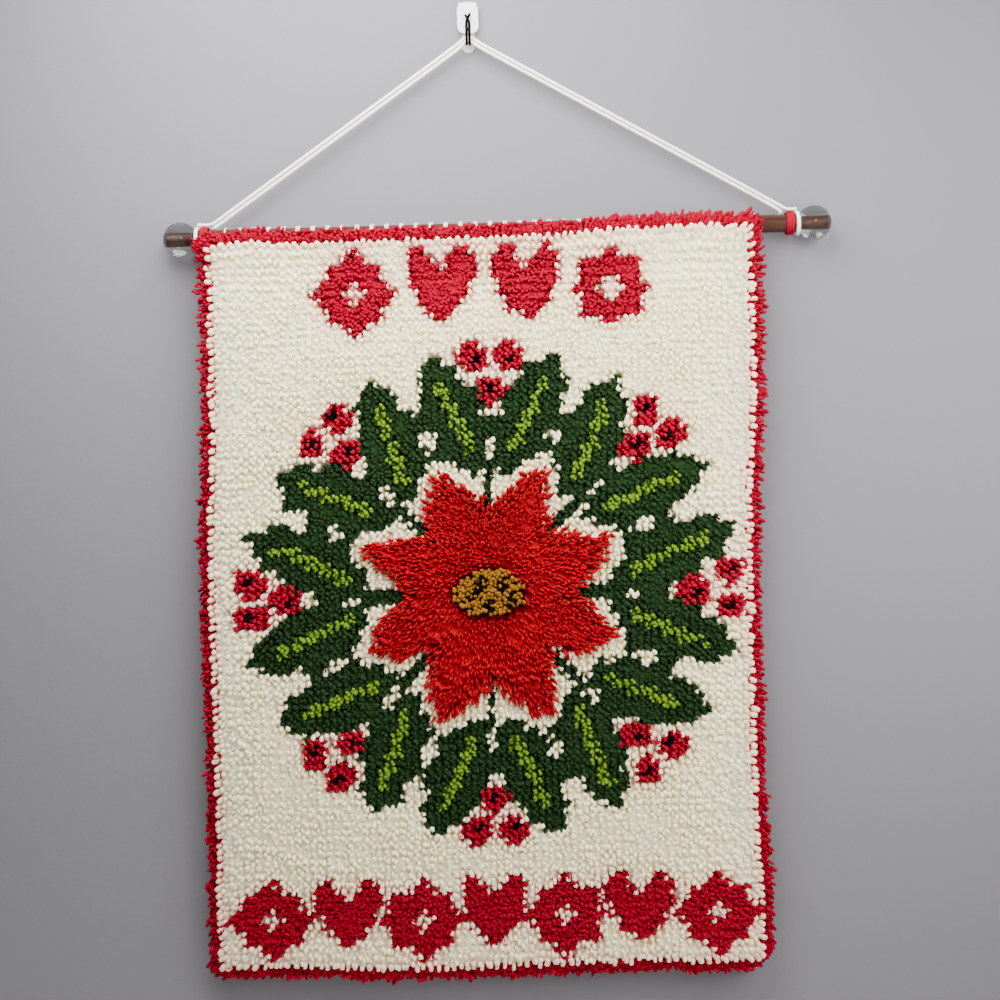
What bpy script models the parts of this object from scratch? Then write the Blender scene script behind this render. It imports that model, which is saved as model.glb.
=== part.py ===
"""Latch hook wall hanging on a wooden rod, with the cord and the wall hook that carry it.

Metres, +Z up. The wall is the plane Y = 0 and the hanging faces -Y, with +X to the right as seen
from the front. The origin is the middle of the adhesive strip's back face, where the hook is stuck
to the wall.

The cloth has its own coordinates: u runs across from the panel's middle line, v runs down from the
canvas's top edge, and depth runs forward from the front face of the canvas.
"""
import math

import bmesh
import bpy
from mathutils import Matrix, Vector, noise

NAME = "latch_hook_wall_hanging"
GAP = 0.0003                      # between pieces that touch

# Wooden rod and ball finials
ROD_RADIUS = 0.008
ROD_Y, ROD_Z = -0.0163, -0.1914
BALL_RADIUS = 0.01575
BALL_X = {"left": -0.26945, "right": 0.3135}
PEG_RADIUS, PEG_LENGTH = 0.0043, 0.0255     # the rod's end, turned down to fit into a ball

# Knotted canvas
KNOT_PITCH = 0.00677              # 3.75 holes to the inch
COLUMNS, ROWS = 75, 101
HALF_WIDTH = COLUMNS * KNOT_PITCH / 2
PANEL_HEIGHT = ROWS * KNOT_PITCH
PANEL_TOP_Z = -0.1890
CANVAS_THICK = 0.0015
CANVAS_INSET = 0.002              # how far the canvas ends inside the pile's rim
SLEEVE_RADIUS = ROD_RADIUS + GAP + CANVAS_THICK + 0.0002
SEAM_Z = -0.2279                  # where the hem behind ends and the pile parts
SEAM_LAYER_GAP = 0.00015          # half the gap between the two layers there
BOTTOM_FRONT_Y = -0.0095          # front face of the canvas at the bottom edge
WAVE_HEIGHT, WAVE_LENGTH = 0.0016, 0.31

# Bars of the canvas over the rod, and the gaps between them
BAR_PITCH = 2 * KNOT_PITCH
BAR_WIDTH = 0.0042
FIRST_BAR_X = -0.2282
BAR_GAPS = 35
SLEEVE_LEFT_X = -0.2335           # the turned-over top is cut back here, beside the yarn wrap
NOTCH_Z = -0.2039

# Pile
PILE_DEPTH = 0.0195
PILE_LUMP = 0.0016
PILE_GAP = 0.0005                 # from the canvas to the pile's solids
BORDER = 2 * KNOT_PITCH
GROUND_CELLS = (20, 28)           # a border has two locks for each cell beside it
LOCK_LENGTH = 0.0046
LOCK_TIP = 0.38                   # a lock's tip as a share of its root

# Radii of the four corners of the panel
CORNERS = {"top_left": 0.016, "top_right": 0.011, "bottom_left": 0.019, "bottom_right": 0.033}

# Flower of longer pile
FLOWER_X, FLOWER_Z = 0.006, -0.5214
FLOWER_TIP, FLOWER_NOTCH = 0.112, 0.074
PETALS, PETAL_STEPS = 8, 6
FLOWER_LEVELS = ((1.0, 0.0030), (0.97, 0.0065), (0.80, 0.0095), (0.30, 0.0105))
FLOWER_LUMP = 0.0009
CENTRE_RADIUS, CENTRE_STEPS = 0.025, 20
CENTRE_LEVELS = ((1.0, 0.0016), (0.85, 0.0034), (0.45, 0.0044))

# Wound yarn and cord on the rod
WRAP_WIDTH, WRAP_TURNS, WRAP_RADIUS = 0.0092, 4, 0.0098
LOOP_WIDTH, LOOP_TURNS, LOOP_RADIUS = 0.0042, 2, 0.0113
TURN_GROOVE = 0.0006

# Wall hook
STRIP_SIZE = (0.012, 0.0008, 0.044)
PLATE_SIZE = (0.020, 0.0040, 0.0298)
PLATE_TOP_Z = 0.0246
PLATE_Y = -STRIP_SIZE[1] - GAP
WIRE_RADIUS = 0.0009
WIRE_STEP = 0.004

# Hanging cord
CORD_DIAMETER = 0.003
CORD_STEP = 0.025                 # between the points of a strand's tube where it is straight

# Tables along the cloth: (v down the panel, X of the panel's middle line)
MIDDLE_LINE = ((0.0, 0.0050), (0.13, 0.0050), (0.30, -0.0020), (0.50, -0.0020), (0.684, -0.0004))
# (v down the panel, share of the full width at which it hangs)
HUNG_WIDTH = ((0.0, 0.997), (0.13, 0.997), (0.25, 0.992), (0.50, 0.991), (0.62, 1.003), (0.684, 1.003))
# (X, height of the pile's top rim over the canvas's top edge)
TOP_RIM = ((-0.25, -0.0030), (-0.228, -0.0042), (-0.20, 0.0006), (-0.17, -0.0034), (-0.06, -0.0032),
           (0.02, -0.0020), (0.085, -0.0012), (0.11, 0.0020), (0.15, 0.0040), (0.20, 0.0068),
           (0.232, 0.0055), (0.26, 0.0015))
# (X, rise of the bottom edge)
BOTTOM_RISE = ((-0.26, 0.0062), (-0.20, 0.0055), (-0.15, 0.0042), (-0.10, 0.0), (0.07, 0.0),
               (0.15, 0.0022), (0.19, -0.0004), (0.26, 0.0015))
BOTTOM_RISE_FROM = 0.50           # v from which the bottom edge's rise spreads upwards

COLOURS = {
    "cream": ((0.78, 0.74, 0.64, 1), 0.95, 0.0),
    "red": ((0.55, 0.012, 0.025, 1), 0.95, 0.0),
    "gold": ((0.62, 0.38, 0.06, 1), 0.95, 0.0),
    "canvas": ((0.82, 0.80, 0.74, 1), 0.85, 0.0),
    "wood": ((0.13, 0.055, 0.028, 1), 0.5, 0.0),
    "white_cord": ((0.85, 0.84, 0.80, 1), 0.8, 0.0),
    "clear": ((0.90, 0.93, 0.93, 0.35), 0.05, 0.0),
    "wire": ((0.16, 0.16, 0.17, 1), 0.3, 1.0),
}


# ---------------------------------------------------------------- scene helpers
def clear_scene():
    for old in list(bpy.data.objects):
        bpy.data.objects.remove(old, do_unlink=True)


def new_collection(name):
    made = bpy.data.collections.new(name)
    bpy.context.scene.collection.children.link(made)
    return made


def material(name):
    made = bpy.data.materials.get(name)
    if made:
        return made
    colour, roughness, metallic = COLOURS[name]
    made = bpy.data.materials.new(name)
    made.use_nodes = True
    shader = made.node_tree.nodes["Principled BSDF"]
    shader.inputs["Base Color"].default_value = colour
    shader.inputs["Roughness"].default_value = roughness
    shader.inputs["Metallic"].default_value = metallic
    shader.inputs["Alpha"].default_value = colour[3]
    made.diffuse_color = colour
    return made


def add_object(name, data, colour, collection):
    made = bpy.data.objects.new(name, data)
    data.materials.append(material(colour))
    collection.objects.link(made)
    return made


def object_from(bm, name, colour, collection, smooth_angle=None):
    """Ends a bmesh as an object, with its faces pointing out."""
    bmesh.ops.recalc_face_normals(bm, faces=bm.faces)
    mesh = bpy.data.meshes.new(name)
    bm.to_mesh(mesh)
    bm.free()
    if smooth_angle is not None:
        mesh.shade_smooth()
        mesh.set_sharp_from_angle(angle=math.radians(smooth_angle))
    return add_object(name, mesh, colour, collection)


def cutter(bm, name, collection):
    made = object_from(bm, name, "clear", collection)
    made.hide_render = True
    made.display_type = "WIRE"
    return made


def cut(target, tool):
    change = target.modifiers.new("cut " + tool.name, "BOOLEAN")
    change.operation = "DIFFERENCE"
    change.solver = "EXACT"
    change.object = tool


def add_box(bm, low, high):
    """A box between two corners."""
    size = Vector(high) - Vector(low)
    place = Matrix.Translation((Vector(low) + Vector(high)) / 2)
    bmesh.ops.create_cube(bm, size=1.0, matrix=place @ Matrix.Diagonal((*size, 1.0)))


def add_cylinder(bm, x_from, x_to, radius, segments):
    """A cylinder along the rod's axis."""
    place = Matrix.Translation(((x_from + x_to) / 2, ROD_Y, ROD_Z)) @ Matrix.Rotation(math.pi / 2, 4, "Y")
    bmesh.ops.create_cone(bm, cap_ends=True, segments=segments, radius1=radius, radius2=radius,
                          depth=x_to - x_from, matrix=place)


# ---------------------------------------------------------------- shape of the cloth
def from_table(table, at):
    """The value of a table at a place, eased between its rows."""
    if at <= table[0][0]:
        return table[0][1]
    for (a, low), (b, high) in zip(table, table[1:]):
        if at <= b:
            share = (at - a) / (b - a)
            return low + (high - low) * share * share * (3 - 2 * share)
    return table[-1][1]


def round_corner(u, v):
    """Pulls the square corners of the cloth's coordinates in to the panel's round ones."""
    side = "left" if u < 0 else "right"
    end = "top" if v < PANEL_HEIGHT / 2 else "bottom"
    radius = CORNERS[end + "_" + side]
    across = (abs(u) - (HALF_WIDTH - radius)) / radius
    along = (abs(v - PANEL_HEIGHT / 2) - (PANEL_HEIGHT / 2 - radius)) / radius
    if across <= 0 or along <= 0:
        return u, v
    new_across = across * math.sqrt(max(0.0, 1 - along * along / 2))
    new_along = along * math.sqrt(max(0.0, 1 - across * across / 2))
    u_new = math.copysign(HALF_WIDTH - radius + new_across * radius, u)
    v_new = PANEL_HEIGHT / 2 + math.copysign(PANEL_HEIGHT / 2 - radius + new_along * radius,
                                             v - PANEL_HEIGHT / 2)
    return u_new, v_new


def canvas_front_y(x, z):
    """Y of the front face of the canvas at a place on the panel."""
    seam_y = ROD_Y - SEAM_LAYER_GAP - CANVAS_THICK
    angle = math.asin(SLEEVE_RADIUS / (ROD_Z - SEAM_Z))
    leave_y = ROD_Y - SLEEVE_RADIUS * math.cos(angle)
    leave_z = ROD_Z - SLEEVE_RADIUS * math.sin(angle)
    if z >= leave_z:
        return ROD_Y - SLEEVE_RADIUS
    if z >= SEAM_Z:
        return leave_y + (seam_y - leave_y) * (leave_z - z) / (leave_z - SEAM_Z)
    share = (SEAM_Z - z) / (SEAM_Z - (PANEL_TOP_Z - PANEL_HEIGHT))
    wave = WAVE_HEIGHT * share ** 3 * math.sin(2 * math.pi * x / WAVE_LENGTH + 0.6)
    return seam_y + (BOTTOM_FRONT_Y - seam_y) * share + wave


def hang(u, v, depth):
    """The place of a point of the cloth as it hangs."""
    rim_share = max(0.0, 1 - v / BORDER)
    u, v = round_corner(u, v)
    x = from_table(MIDDLE_LINE, v) + u * from_table(HUNG_WIDTH, v)
    spread = max(0.0, (v - BOTTOM_RISE_FROM) / (PANEL_HEIGHT - BOTTOM_RISE_FROM))
    z = PANEL_TOP_Z - v + from_table(BOTTOM_RISE, x) * spread ** 2 + from_table(TOP_RIM, x) * rim_share
    return Vector((x, canvas_front_y(x, z) - depth, z))


def lump(u, v):
    """Uneven height of the pile."""
    place = Vector((u * 21, v * 21, 3.7))
    return PILE_LUMP * (noise.noise(place) + 0.5 * noise.noise(place * 2.3))


# ---------------------------------------------------------------- canvas
def sleeve_section():
    """The canvas's outer face behind and over the rod, from the hem's end to its front: (Y, Z)."""
    lean = math.asin(SLEEVE_RADIUS / (ROD_Z - SEAM_Z))
    points = [(ROD_Y + SEAM_LAYER_GAP + CANVAS_THICK, SEAM_Z)]
    steps = 10
    for i in range(steps + 1):
        turn = -lean + (math.pi + 2 * lean) * i / steps
        points.append((ROD_Y + SLEEVE_RADIUS * math.cos(turn), ROD_Z + SLEEVE_RADIUS * math.sin(turn)))
    return points


def make_canvas(collection, cutters):
    across, rows = 12, 14
    half = HALF_WIDTH - CANVAS_INSET
    sleeve = sleeve_section()
    seam_v = PANEL_TOP_Z - SEAM_Z
    panel_v = [seam_v + (PANEL_HEIGHT - CANVAS_INSET - seam_v) * i / rows for i in range(rows + 1)]
    bm = bmesh.new()
    bmesh.ops.create_grid(bm, x_segments=across, y_segments=len(sleeve) + len(panel_v) - 1, size=0.5)
    levels = sorted({round(vert.co.y, 6) for vert in bm.verts}, reverse=True)
    for vert in bm.verts:
        u = vert.co.x * 2 * half
        level = levels.index(round(vert.co.y, 6))
        if level < len(sleeve):
            y, z = sleeve[level]
            vert.co = (from_table(MIDDLE_LINE, 0.0) + u * from_table(HUNG_WIDTH, 0.0), y, z)
        else:
            vert.co = hang(u, panel_v[level - len(sleeve)], 0.0)
    mesh = bpy.data.meshes.new("canvas")
    bmesh.ops.recalc_face_normals(bm, faces=bm.faces)
    bm.faces.ensure_lookup_table()
    lowest = min(bm.faces, key=lambda face: face.calc_center_median().z)
    if lowest.normal.y > 0:
        bmesh.ops.reverse_faces(bm, faces=bm.faces)
    bm.to_mesh(mesh)
    bm.free()
    canvas = add_object("canvas", mesh, "canvas", collection)
    thicken = canvas.modifiers.new("cloth", "SOLIDIFY")
    thicken.thickness = CANVAS_THICK
    thicken.offset = -1
    thicken.use_even_offset = True

    gaps = bmesh.new()
    reach = 0.004
    for i in range(BAR_GAPS):
        low_x = FIRST_BAR_X + i * BAR_PITCH + BAR_WIDTH / 2
        high_x = FIRST_BAR_X + (i + 1) * BAR_PITCH - BAR_WIDTH / 2
        add_box(gaps, (low_x, ROD_Y - SLEEVE_RADIUS - reach, ROD_Z - 0.0005),
                (high_x, ROD_Y + SLEEVE_RADIUS / 2, ROD_Z + SLEEVE_RADIUS + reach))
    cut(canvas, cutter(gaps, "bar_gaps", cutters))

    notch = bmesh.new()
    add_box(notch, (-HALF_WIDTH - 0.02, -0.06, NOTCH_Z), (SLEEVE_LEFT_X, 0.02, PANEL_TOP_Z + 0.03))
    cut(canvas, cutter(notch, "corner_notch", cutters))
    return canvas


# ---------------------------------------------------------------- pile
def make_ground(collection):
    half = HALF_WIDTH - BORDER - GAP / 2
    top, bottom = BORDER + GAP / 2, PANEL_HEIGHT - BORDER - GAP / 2
    flower_v = PANEL_TOP_Z - FLOWER_Z
    flower_u = FLOWER_X - from_table(MIDDLE_LINE, flower_v)
    bm = bmesh.new()
    bmesh.ops.create_grid(bm, x_segments=GROUND_CELLS[0], y_segments=GROUND_CELLS[1], size=0.5)
    raised = bmesh.ops.extrude_face_region(bm, geom=bm.faces[:])
    front = {item for item in raised["geom"] if isinstance(item, bmesh.types.BMVert)}
    for vert in bm.verts:
        u, v = vert.co.x * 2 * half, (top + bottom) / 2 - vert.co.y * (bottom - top)
        if vert in front:
            away = math.hypot(u - flower_u, v - flower_v)
            calm = min(1.0, max(0.0, (away - FLOWER_TIP - 0.025) / 0.02))
            vert.co = hang(u, v, PILE_DEPTH + calm * lump(u, v))
        else:
            vert.co = hang(u, v, PILE_GAP)
    return object_from(bm, "pile_ground", "cream", collection, 40)


def border_point(side, along, out):
    """u and v of a point of a border strip, from its place along the side (-1 to 1) and outwards."""
    mitre = GAP
    half_u = HALF_WIDTH - BORDER + out - mitre
    half_v = PANEL_HEIGHT / 2 - BORDER + out - mitre
    if side in ("top", "bottom"):
        sign = -1 if side == "top" else 1
        return along * half_u, PANEL_HEIGHT / 2 + sign * (PANEL_HEIGHT / 2 - BORDER + out)
    sign = -1 if side == "left" else 1
    return sign * (HALF_WIDTH - BORDER + out), PANEL_HEIGHT / 2 + along * half_v


def make_border(side, collection):
    """A strip of pile along one side, with a lock on each outer face."""
    stations = 2 * GROUND_CELLS[0 if side in ("top", "bottom") else 1]
    bm = bmesh.new()
    bmesh.ops.create_grid(bm, x_segments=stations, y_segments=2, size=0.5)
    raised = bmesh.ops.extrude_face_region(bm, geom=bm.faces[:])
    front = {item for item in raised["geom"] if isinstance(item, bmesh.types.BMVert)}
    front_out, front_depth = (GAP / 2, 0.55 * BORDER, 0.98 * BORDER), (1.0, 1.02, 0.62)
    back_out, back_depth = (GAP / 2, 0.50 * BORDER, 0.90 * BORDER), (0.0, 0.0, 0.05)
    inner_edge = {}
    for vert in bm.verts:
        row = round((vert.co.y + 0.5) * 2)
        if row == 0:
            inner_edge[vert in front, round((vert.co.x + 0.5) * stations)] = vert
        out = (front_out if vert in front else back_out)[row]
        u, v = border_point(side, vert.co.x * 2, out)
        if vert in front:
            depth = PILE_DEPTH * front_depth[row] + lump(u, v)
        else:
            depth = PILE_GAP + PILE_DEPTH * back_depth[row]
        vert.co = hang(u, v, depth)
    for (is_front, station), vert in inner_edge.items():
        if station % 2:               # straight between the corners of the ground's cells
            before, after = inner_edge[is_front, station - 1], inner_edge[is_front, station + 1]
            vert.co = (before.co + after.co) / 2
    bmesh.ops.recalc_face_normals(bm, faces=bm.faces)
    add_locks(bm, side)
    return object_from(bm, "pile_border_" + side, "red", collection, 40)


def add_locks(bm, side):
    """Draws each face of a strip's outer rim out into a tapered lock."""
    outward = {"top": Vector((0, 0, 1)), "bottom": Vector((0, 0, -1)),
               "left": Vector((-1, 0, 0)), "right": Vector((1, 0, 0))}[side]
    end_on = Vector((1, 0, 0)) if side in ("top", "bottom") else Vector((0, 0, 1))
    rim = [face for face in bm.faces
           if face.normal.dot(outward) > 0.45 and abs(face.normal.dot(end_on)) < 0.8
           and abs(face.normal.y) < 0.75]
    for face in bmesh.ops.extrude_discrete_faces(bm, faces=rim)["faces"]:
        middle = face.calc_center_median()
        key = Vector((middle.x * 160, 1.3, middle.z * 160))
        length = LOCK_LENGTH * (1 + 0.35 * noise.noise(key))
        flat = Vector((face.normal.x, 0, face.normal.z)).normalized()
        lean = Vector((0.25 * noise.noise(key * 1.7), -0.15, 0.25 * noise.noise(key * 2.3)))
        tip = middle + (flat + lean).normalized() * length
        for vert in face.verts:
            vert.co = tip + (vert.co - middle) * LOCK_TIP


def make_mound(name, outline, base_depth, levels, colour, collection):
    """A lumpy mound of longer pile: a loft from its outline up through smaller, higher rings."""
    middle = sum((Vector(point) for point in outline), Vector((0.0, 0.0))) / len(outline)
    bm = bmesh.new()
    rings = []
    for scale, height in ((1.0, 0.0),) + levels:
        ring = []
        for point in outline:
            place = middle + (Vector(point) - middle) * scale
            rough = FLOWER_LUMP * noise.noise(Vector((place.x * 70, place.y * 70, height * 300)))
            depth = base_depth + height + (rough if 0 < height and scale > 0.5 else 0.0)
            ring.append(bm.verts.new(hang(place.x, place.y, depth)))
        rings.append(ring)
    for low, high in zip(rings, rings[1:]):
        for i in range(len(low)):
            j = (i + 1) % len(low)
            bm.faces.new((low[i], low[j], high[j], high[i]))
    for ring, height in ((rings[0], 0.0), (rings[-1], levels[-1][1])):
        pole = bm.verts.new(hang(middle.x, middle.y, base_depth + height))
        for i in range(len(ring)):
            bm.faces.new((ring[i], ring[(i + 1) % len(ring)], pole))
    return object_from(bm, name, colour, collection, 40)


def make_flower(collection):
    middle_v = PANEL_TOP_Z - FLOWER_Z
    middle_u = FLOWER_X - from_table(MIDDLE_LINE, middle_v)
    steps = PETALS * PETAL_STEPS
    star = []
    for i in range(steps):
        off_axis = abs((i % PETAL_STEPS) / PETAL_STEPS * 2 - 1)
        radius = FLOWER_NOTCH + (FLOWER_TIP - FLOWER_NOTCH) * (1 - off_axis)
        turn = 2 * math.pi * (i / steps)
        star.append((middle_u + radius * math.sin(turn), middle_v - radius * math.cos(turn)))
    base = PILE_DEPTH + PILE_GAP
    make_mound("pile_flower", star, base, FLOWER_LEVELS, "red", collection)
    disc = []
    for i in range(CENTRE_STEPS):
        turn = 2 * math.pi * i / CENTRE_STEPS
        disc.append((middle_u + CENTRE_RADIUS * math.sin(turn), middle_v - CENTRE_RADIUS * math.cos(turn)))
    top = base + FLOWER_LEVELS[-1][1] + GAP
    make_mound("pile_flower_centre", disc, top, CENTRE_LEVELS, "gold", collection)


# ---------------------------------------------------------------- rod, balls and windings
def ball_face_x(side, radius):
    """X where a ball's surface, on its side towards the panel, is this far from the rod's axis."""
    inward = 1 if side == "left" else -1
    return BALL_X[side] + inward * math.sqrt(BALL_RADIUS ** 2 - radius ** 2)


def peg_end_x(side):
    outward = -1 if side == "left" else 1
    return ball_face_x(side, 0.0) + outward * PEG_LENGTH


def make_rod(collection):
    """The rod up to the balls, and the thinner peg at each end, as one turned shape."""
    left, right = ball_face_x("left", 0.0) + GAP, ball_face_x("right", 0.0) - GAP
    profile = [(peg_end_x("left"), 0.0), (peg_end_x("left"), PEG_RADIUS), (left, PEG_RADIUS),
               (left, ROD_RADIUS), (right, ROD_RADIUS), (right, PEG_RADIUS),
               (peg_end_x("right"), PEG_RADIUS), (peg_end_x("right"), 0.0)]
    bm = bmesh.new()
    verts = [bm.verts.new((x, 0.0, radius)) for x, radius in profile]
    edges = [bm.edges.new(pair) for pair in zip(verts, verts[1:])]
    bmesh.ops.spin(bm, geom=verts + edges, cent=(0, 0, 0), axis=(1, 0, 0), angle=2 * math.pi,
                   steps=24, use_merge=True)
    bmesh.ops.remove_doubles(bm, verts=bm.verts, dist=1e-6)
    bmesh.ops.transform(bm, matrix=Matrix.Translation((0.0, ROD_Y, ROD_Z)), verts=bm.verts)
    object_from(bm, "rod", "wood", collection, 30)


def make_ball(side, collection, cutters):
    bm = bmesh.new()
    place = Matrix.Translation((BALL_X[side], ROD_Y, ROD_Z)) @ Matrix.Rotation(math.pi / 2, 4, "Y")
    bmesh.ops.create_uvsphere(bm, u_segments=22, v_segments=12, radius=BALL_RADIUS, matrix=place)
    ball = object_from(bm, "ball_" + side, "clear", collection, 60)
    bore = bmesh.new()
    inward = 1 if side == "left" else -1
    ends = sorted((peg_end_x(side) - inward * GAP, ball_face_x(side, 0.0) + inward * 0.004))
    add_cylinder(bore, ends[0], ends[1], PEG_RADIUS + GAP, 24)
    cut(ball, cutter(bore, "bore_" + side, cutters))


def make_winding(name, x_from, width, turns, radius, colour, collection):
    """Turns of yarn or cord side by side round the rod, as a turned ring with a ridge for each."""
    inner = ROD_RADIUS + GAP
    turn_width = width / turns
    profile = [(inner, width)]
    for i in reversed(range(turns)):
        for share, drop in ((1.0, TURN_GROOVE), (0.72, 0.0), (0.28, 0.0)):
            profile.append((radius - drop, (i + share) * turn_width))
    profile += [(radius - TURN_GROOVE, 0.0), (inner, 0.0)]
    bm = bmesh.new()
    verts = [bm.verts.new((x, 0.0, z)) for x, z in profile]
    edges = [bm.edges.new((verts[i], verts[(i + 1) % len(verts)])) for i in range(len(verts))]
    bmesh.ops.spin(bm, geom=verts + edges, cent=(0, 0, 0), axis=(0, 0, 1), angle=2 * math.pi,
                   steps=20, use_merge=True)
    place = Matrix.Translation((x_from, ROD_Y, ROD_Z)) @ Matrix.Rotation(math.pi / 2, 4, "Y")
    bmesh.ops.transform(bm, matrix=place, verts=bm.verts)
    object_from(bm, name, colour, collection, 50)


def make_windings(collection):
    """On each end of the rod, from the ball inwards: the cord's loop, then the red yarn wrap."""
    for side, inward in (("left", 1), ("right", -1)):
        start = ball_face_x(side, ROD_RADIUS + GAP) + inward * GAP
        for kind, width, turns, radius, colour in (
                ("cord_loop_", LOOP_WIDTH, LOOP_TURNS, LOOP_RADIUS, "white_cord"),
                ("yarn_wrap_", WRAP_WIDTH, WRAP_TURNS, WRAP_RADIUS, "red")):
            low_x = start if inward > 0 else start - width
            make_winding(kind + side, low_x, width, turns, radius, colour, collection)
            start += inward * (width + GAP)


# ---------------------------------------------------------------- curves
def smooth_route(points, step, least):
    """Points on a Catmull-Rom curve through the route's own points, closest together at its bends."""
    knots = [Vector(p) for p in points]
    ends = [knots[0] * 2 - knots[1]] + knots + [knots[-1] * 2 - knots[-2]]
    route = []
    for a, b, c, d in zip(ends, ends[1:], ends[2:], ends[3:]):
        parts = max(least, round((c - b).length / step))
        for i in range(parts):
            t = i / parts
            route.append(0.5 * (2 * b + (c - a) * t + (2 * a - 5 * b + 4 * c - d) * t * t
                                + (3 * b - a - 3 * c + d) * t ** 3))
    route.append(knots[-1])
    return route


def make_tube(name, route, radius, colour, collection):
    curve = bpy.data.curves.new(name, "CURVE")
    curve.dimensions = "3D"
    curve.bevel_depth = radius
    curve.bevel_resolution = 2
    curve.use_fill_caps = True
    line = curve.splines.new("POLY")
    line.points.add(len(route) - 1)
    for point, place in zip(line.points, route):
        point.co = (*place, 1.0)
    return add_object(name, curve, colour, collection)


def make_cords(collection):
    """The hanging cord's two strands: round the rod's end, up over the hook's wire and down again."""
    lower = [
        (-0.2393, -0.0077, -0.1858), (-0.2393, -0.0108, -0.1830), (-0.2388, -0.0148, -0.1816),
        (-0.2340, -0.0162, -0.1787), (-0.2000, -0.0154, -0.1548), (-0.1200, -0.0134, -0.0987),
        (-0.0400, -0.0113, -0.0427), (-0.0110, -0.0106, -0.0221), (-0.0045, -0.0105, -0.0160),
        (0.0, -0.0105, -0.0140), (0.0048, -0.0105, -0.0157), (0.0130, -0.0106, -0.0216),
        (0.0600, -0.0116, -0.0491), (0.1400, -0.0133, -0.0957), (0.2300, -0.0152, -0.1482),
        (0.2780, -0.0162, -0.1766), (0.2828, -0.0148, -0.1812), (0.2834, -0.0108, -0.1830),
        (0.2834, -0.0077, -0.1858)]
    upper = [
        (-0.2536, -0.0163, -0.1782), (-0.2490, -0.0163, -0.1783), (-0.2445, -0.0163, -0.1786),
        (-0.2400, -0.0162, -0.1776), (-0.2350, -0.0161, -0.1745), (-0.2020, -0.0154, -0.1514),
        (-0.1220, -0.0134, -0.0953), (-0.0420, -0.0113, -0.0393), (-0.0130, -0.0106, -0.0187),
        (-0.0055, -0.0105, -0.0127), (0.0, -0.0105, -0.0106), (0.0058, -0.0105, -0.0125),
        (0.0146, -0.0106, -0.0183), (0.0616, -0.0116, -0.0457), (0.1416, -0.0133, -0.0923),
        (0.2316, -0.0152, -0.1448), (0.2796, -0.0161, -0.1730), (0.2850, -0.0162, -0.1764),
        (0.2895, -0.0163, -0.1783), (0.2940, -0.0163, -0.1783), (0.2978, -0.0163, -0.1782)]
    for name, route in (("cord_lower", lower), ("cord_upper", upper)):
        make_tube(name, smooth_route(route, CORD_STEP, 3), CORD_DIAMETER / 2, "white_cord", collection)


# ---------------------------------------------------------------- wall hook
def make_slab(name, size, middle, corner, rounded_ends, edge, collection):
    """A flat plate on the wall with rounded corners, and a softened front edge."""
    bm = bmesh.new()
    low, high = Vector(middle) - Vector(size) / 2, Vector(middle) + Vector(size) / 2
    add_box(bm, low, high)
    upright = [e for e in bm.edges if abs((e.verts[0].co - e.verts[1].co).normalized().y) > 0.9
               and (rounded_ends == "all" or e.verts[0].co.z < middle[2])]
    bmesh.ops.bevel(bm, geom=upright, offset=corner, segments=6, affect="EDGES", profile=0.5)
    if edge:
        front = [e for e in bm.edges if all(abs(v.co.y - low.y) < 1e-6 for v in e.verts)]
        bmesh.ops.bevel(bm, geom=front, offset=edge, segments=2, affect="EDGES", profile=0.5)
    object_from(bm, name, "clear", collection, 40)


def make_hook(collection):
    strip_middle = (0.0, -STRIP_SIZE[1] / 2, 0.0)
    make_slab("hook_strip", STRIP_SIZE, strip_middle, STRIP_SIZE[0] * 0.49, "bottom", 0.0, collection)
    plate_middle = (0.0, PLATE_Y - PLATE_SIZE[1] / 2, PLATE_TOP_Z - PLATE_SIZE[2] / 2)
    make_slab("hook_plate", PLATE_SIZE, plate_middle, 0.0072, "all", 0.0011, collection)

    front_y = PLATE_Y - PLATE_SIZE[1] - GAP - WIRE_RADIUS
    wire = [
        (-0.0022, 0.0, 0.0121), (-0.0012, 0.0, 0.0101), (0.0, 0.0, 0.0078), (0.0011, 0.0, 0.0052),
        (0.0014, 0.0, 0.0020), (0.0014, 0.0, -0.0050), (0.0014, 0.0, -0.0119), (0.0014, -0.0012, -0.0154),
        (0.0014, -0.0042, -0.0169), (0.0014, -0.0073, -0.0154), (0.0014, -0.0086, -0.0119),
        (0.0014, -0.0089, -0.0079), (0.0012, -0.0091, -0.0055), (0.0, -0.0092, -0.0044),
        (-0.0012, -0.0091, -0.0055), (-0.0014, -0.0089, -0.0079), (-0.0014, -0.0086, -0.0119),
        (-0.0014, -0.0073, -0.0154), (-0.0014, -0.0042, -0.0169), (-0.0014, -0.0012, -0.0154),
        (-0.0014, 0.0, -0.0119), (-0.0014, -0.0003, -0.0050), (-0.0014, -0.0012, 0.0020),
        (-0.0011, -0.0021, 0.0052), (0.0, -0.0023, 0.0078), (0.0012, -0.0019, 0.0101),
        (0.0022, -0.0008, 0.0121)]
    placed = [(x, front_y + y, z) for x, y, z in wire]
    make_tube("hook_wire", smooth_route(placed, WIRE_STEP, 2), WIRE_RADIUS, "wire", collection)


def main():
    clear_scene()
    parts = new_collection(NAME)
    cutters = new_collection("cutters")
    make_canvas(parts, cutters)
    make_ground(parts)
    for side in ("top", "bottom", "left", "right"):
        make_border(side, parts)
    make_flower(parts)
    make_rod(parts)
    for side in ("left", "right"):
        make_ball(side, parts, cutters)
    make_windings(parts)
    make_cords(parts)
    make_hook(parts)


main()
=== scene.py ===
"""Looks of a shaggy latch hook wall hanging: its knotted yarn, canvas, rod, cord and wall hook.

Metres, +Z up. The wall is the plane Y = 0, and the hanging faces -Y. The cloth has its own
coordinates: u runs across from the panel's middle line, v runs down from the canvas's top edge.
"""
import logging
import math
from dataclasses import dataclass, field
from enum import IntEnum

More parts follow.
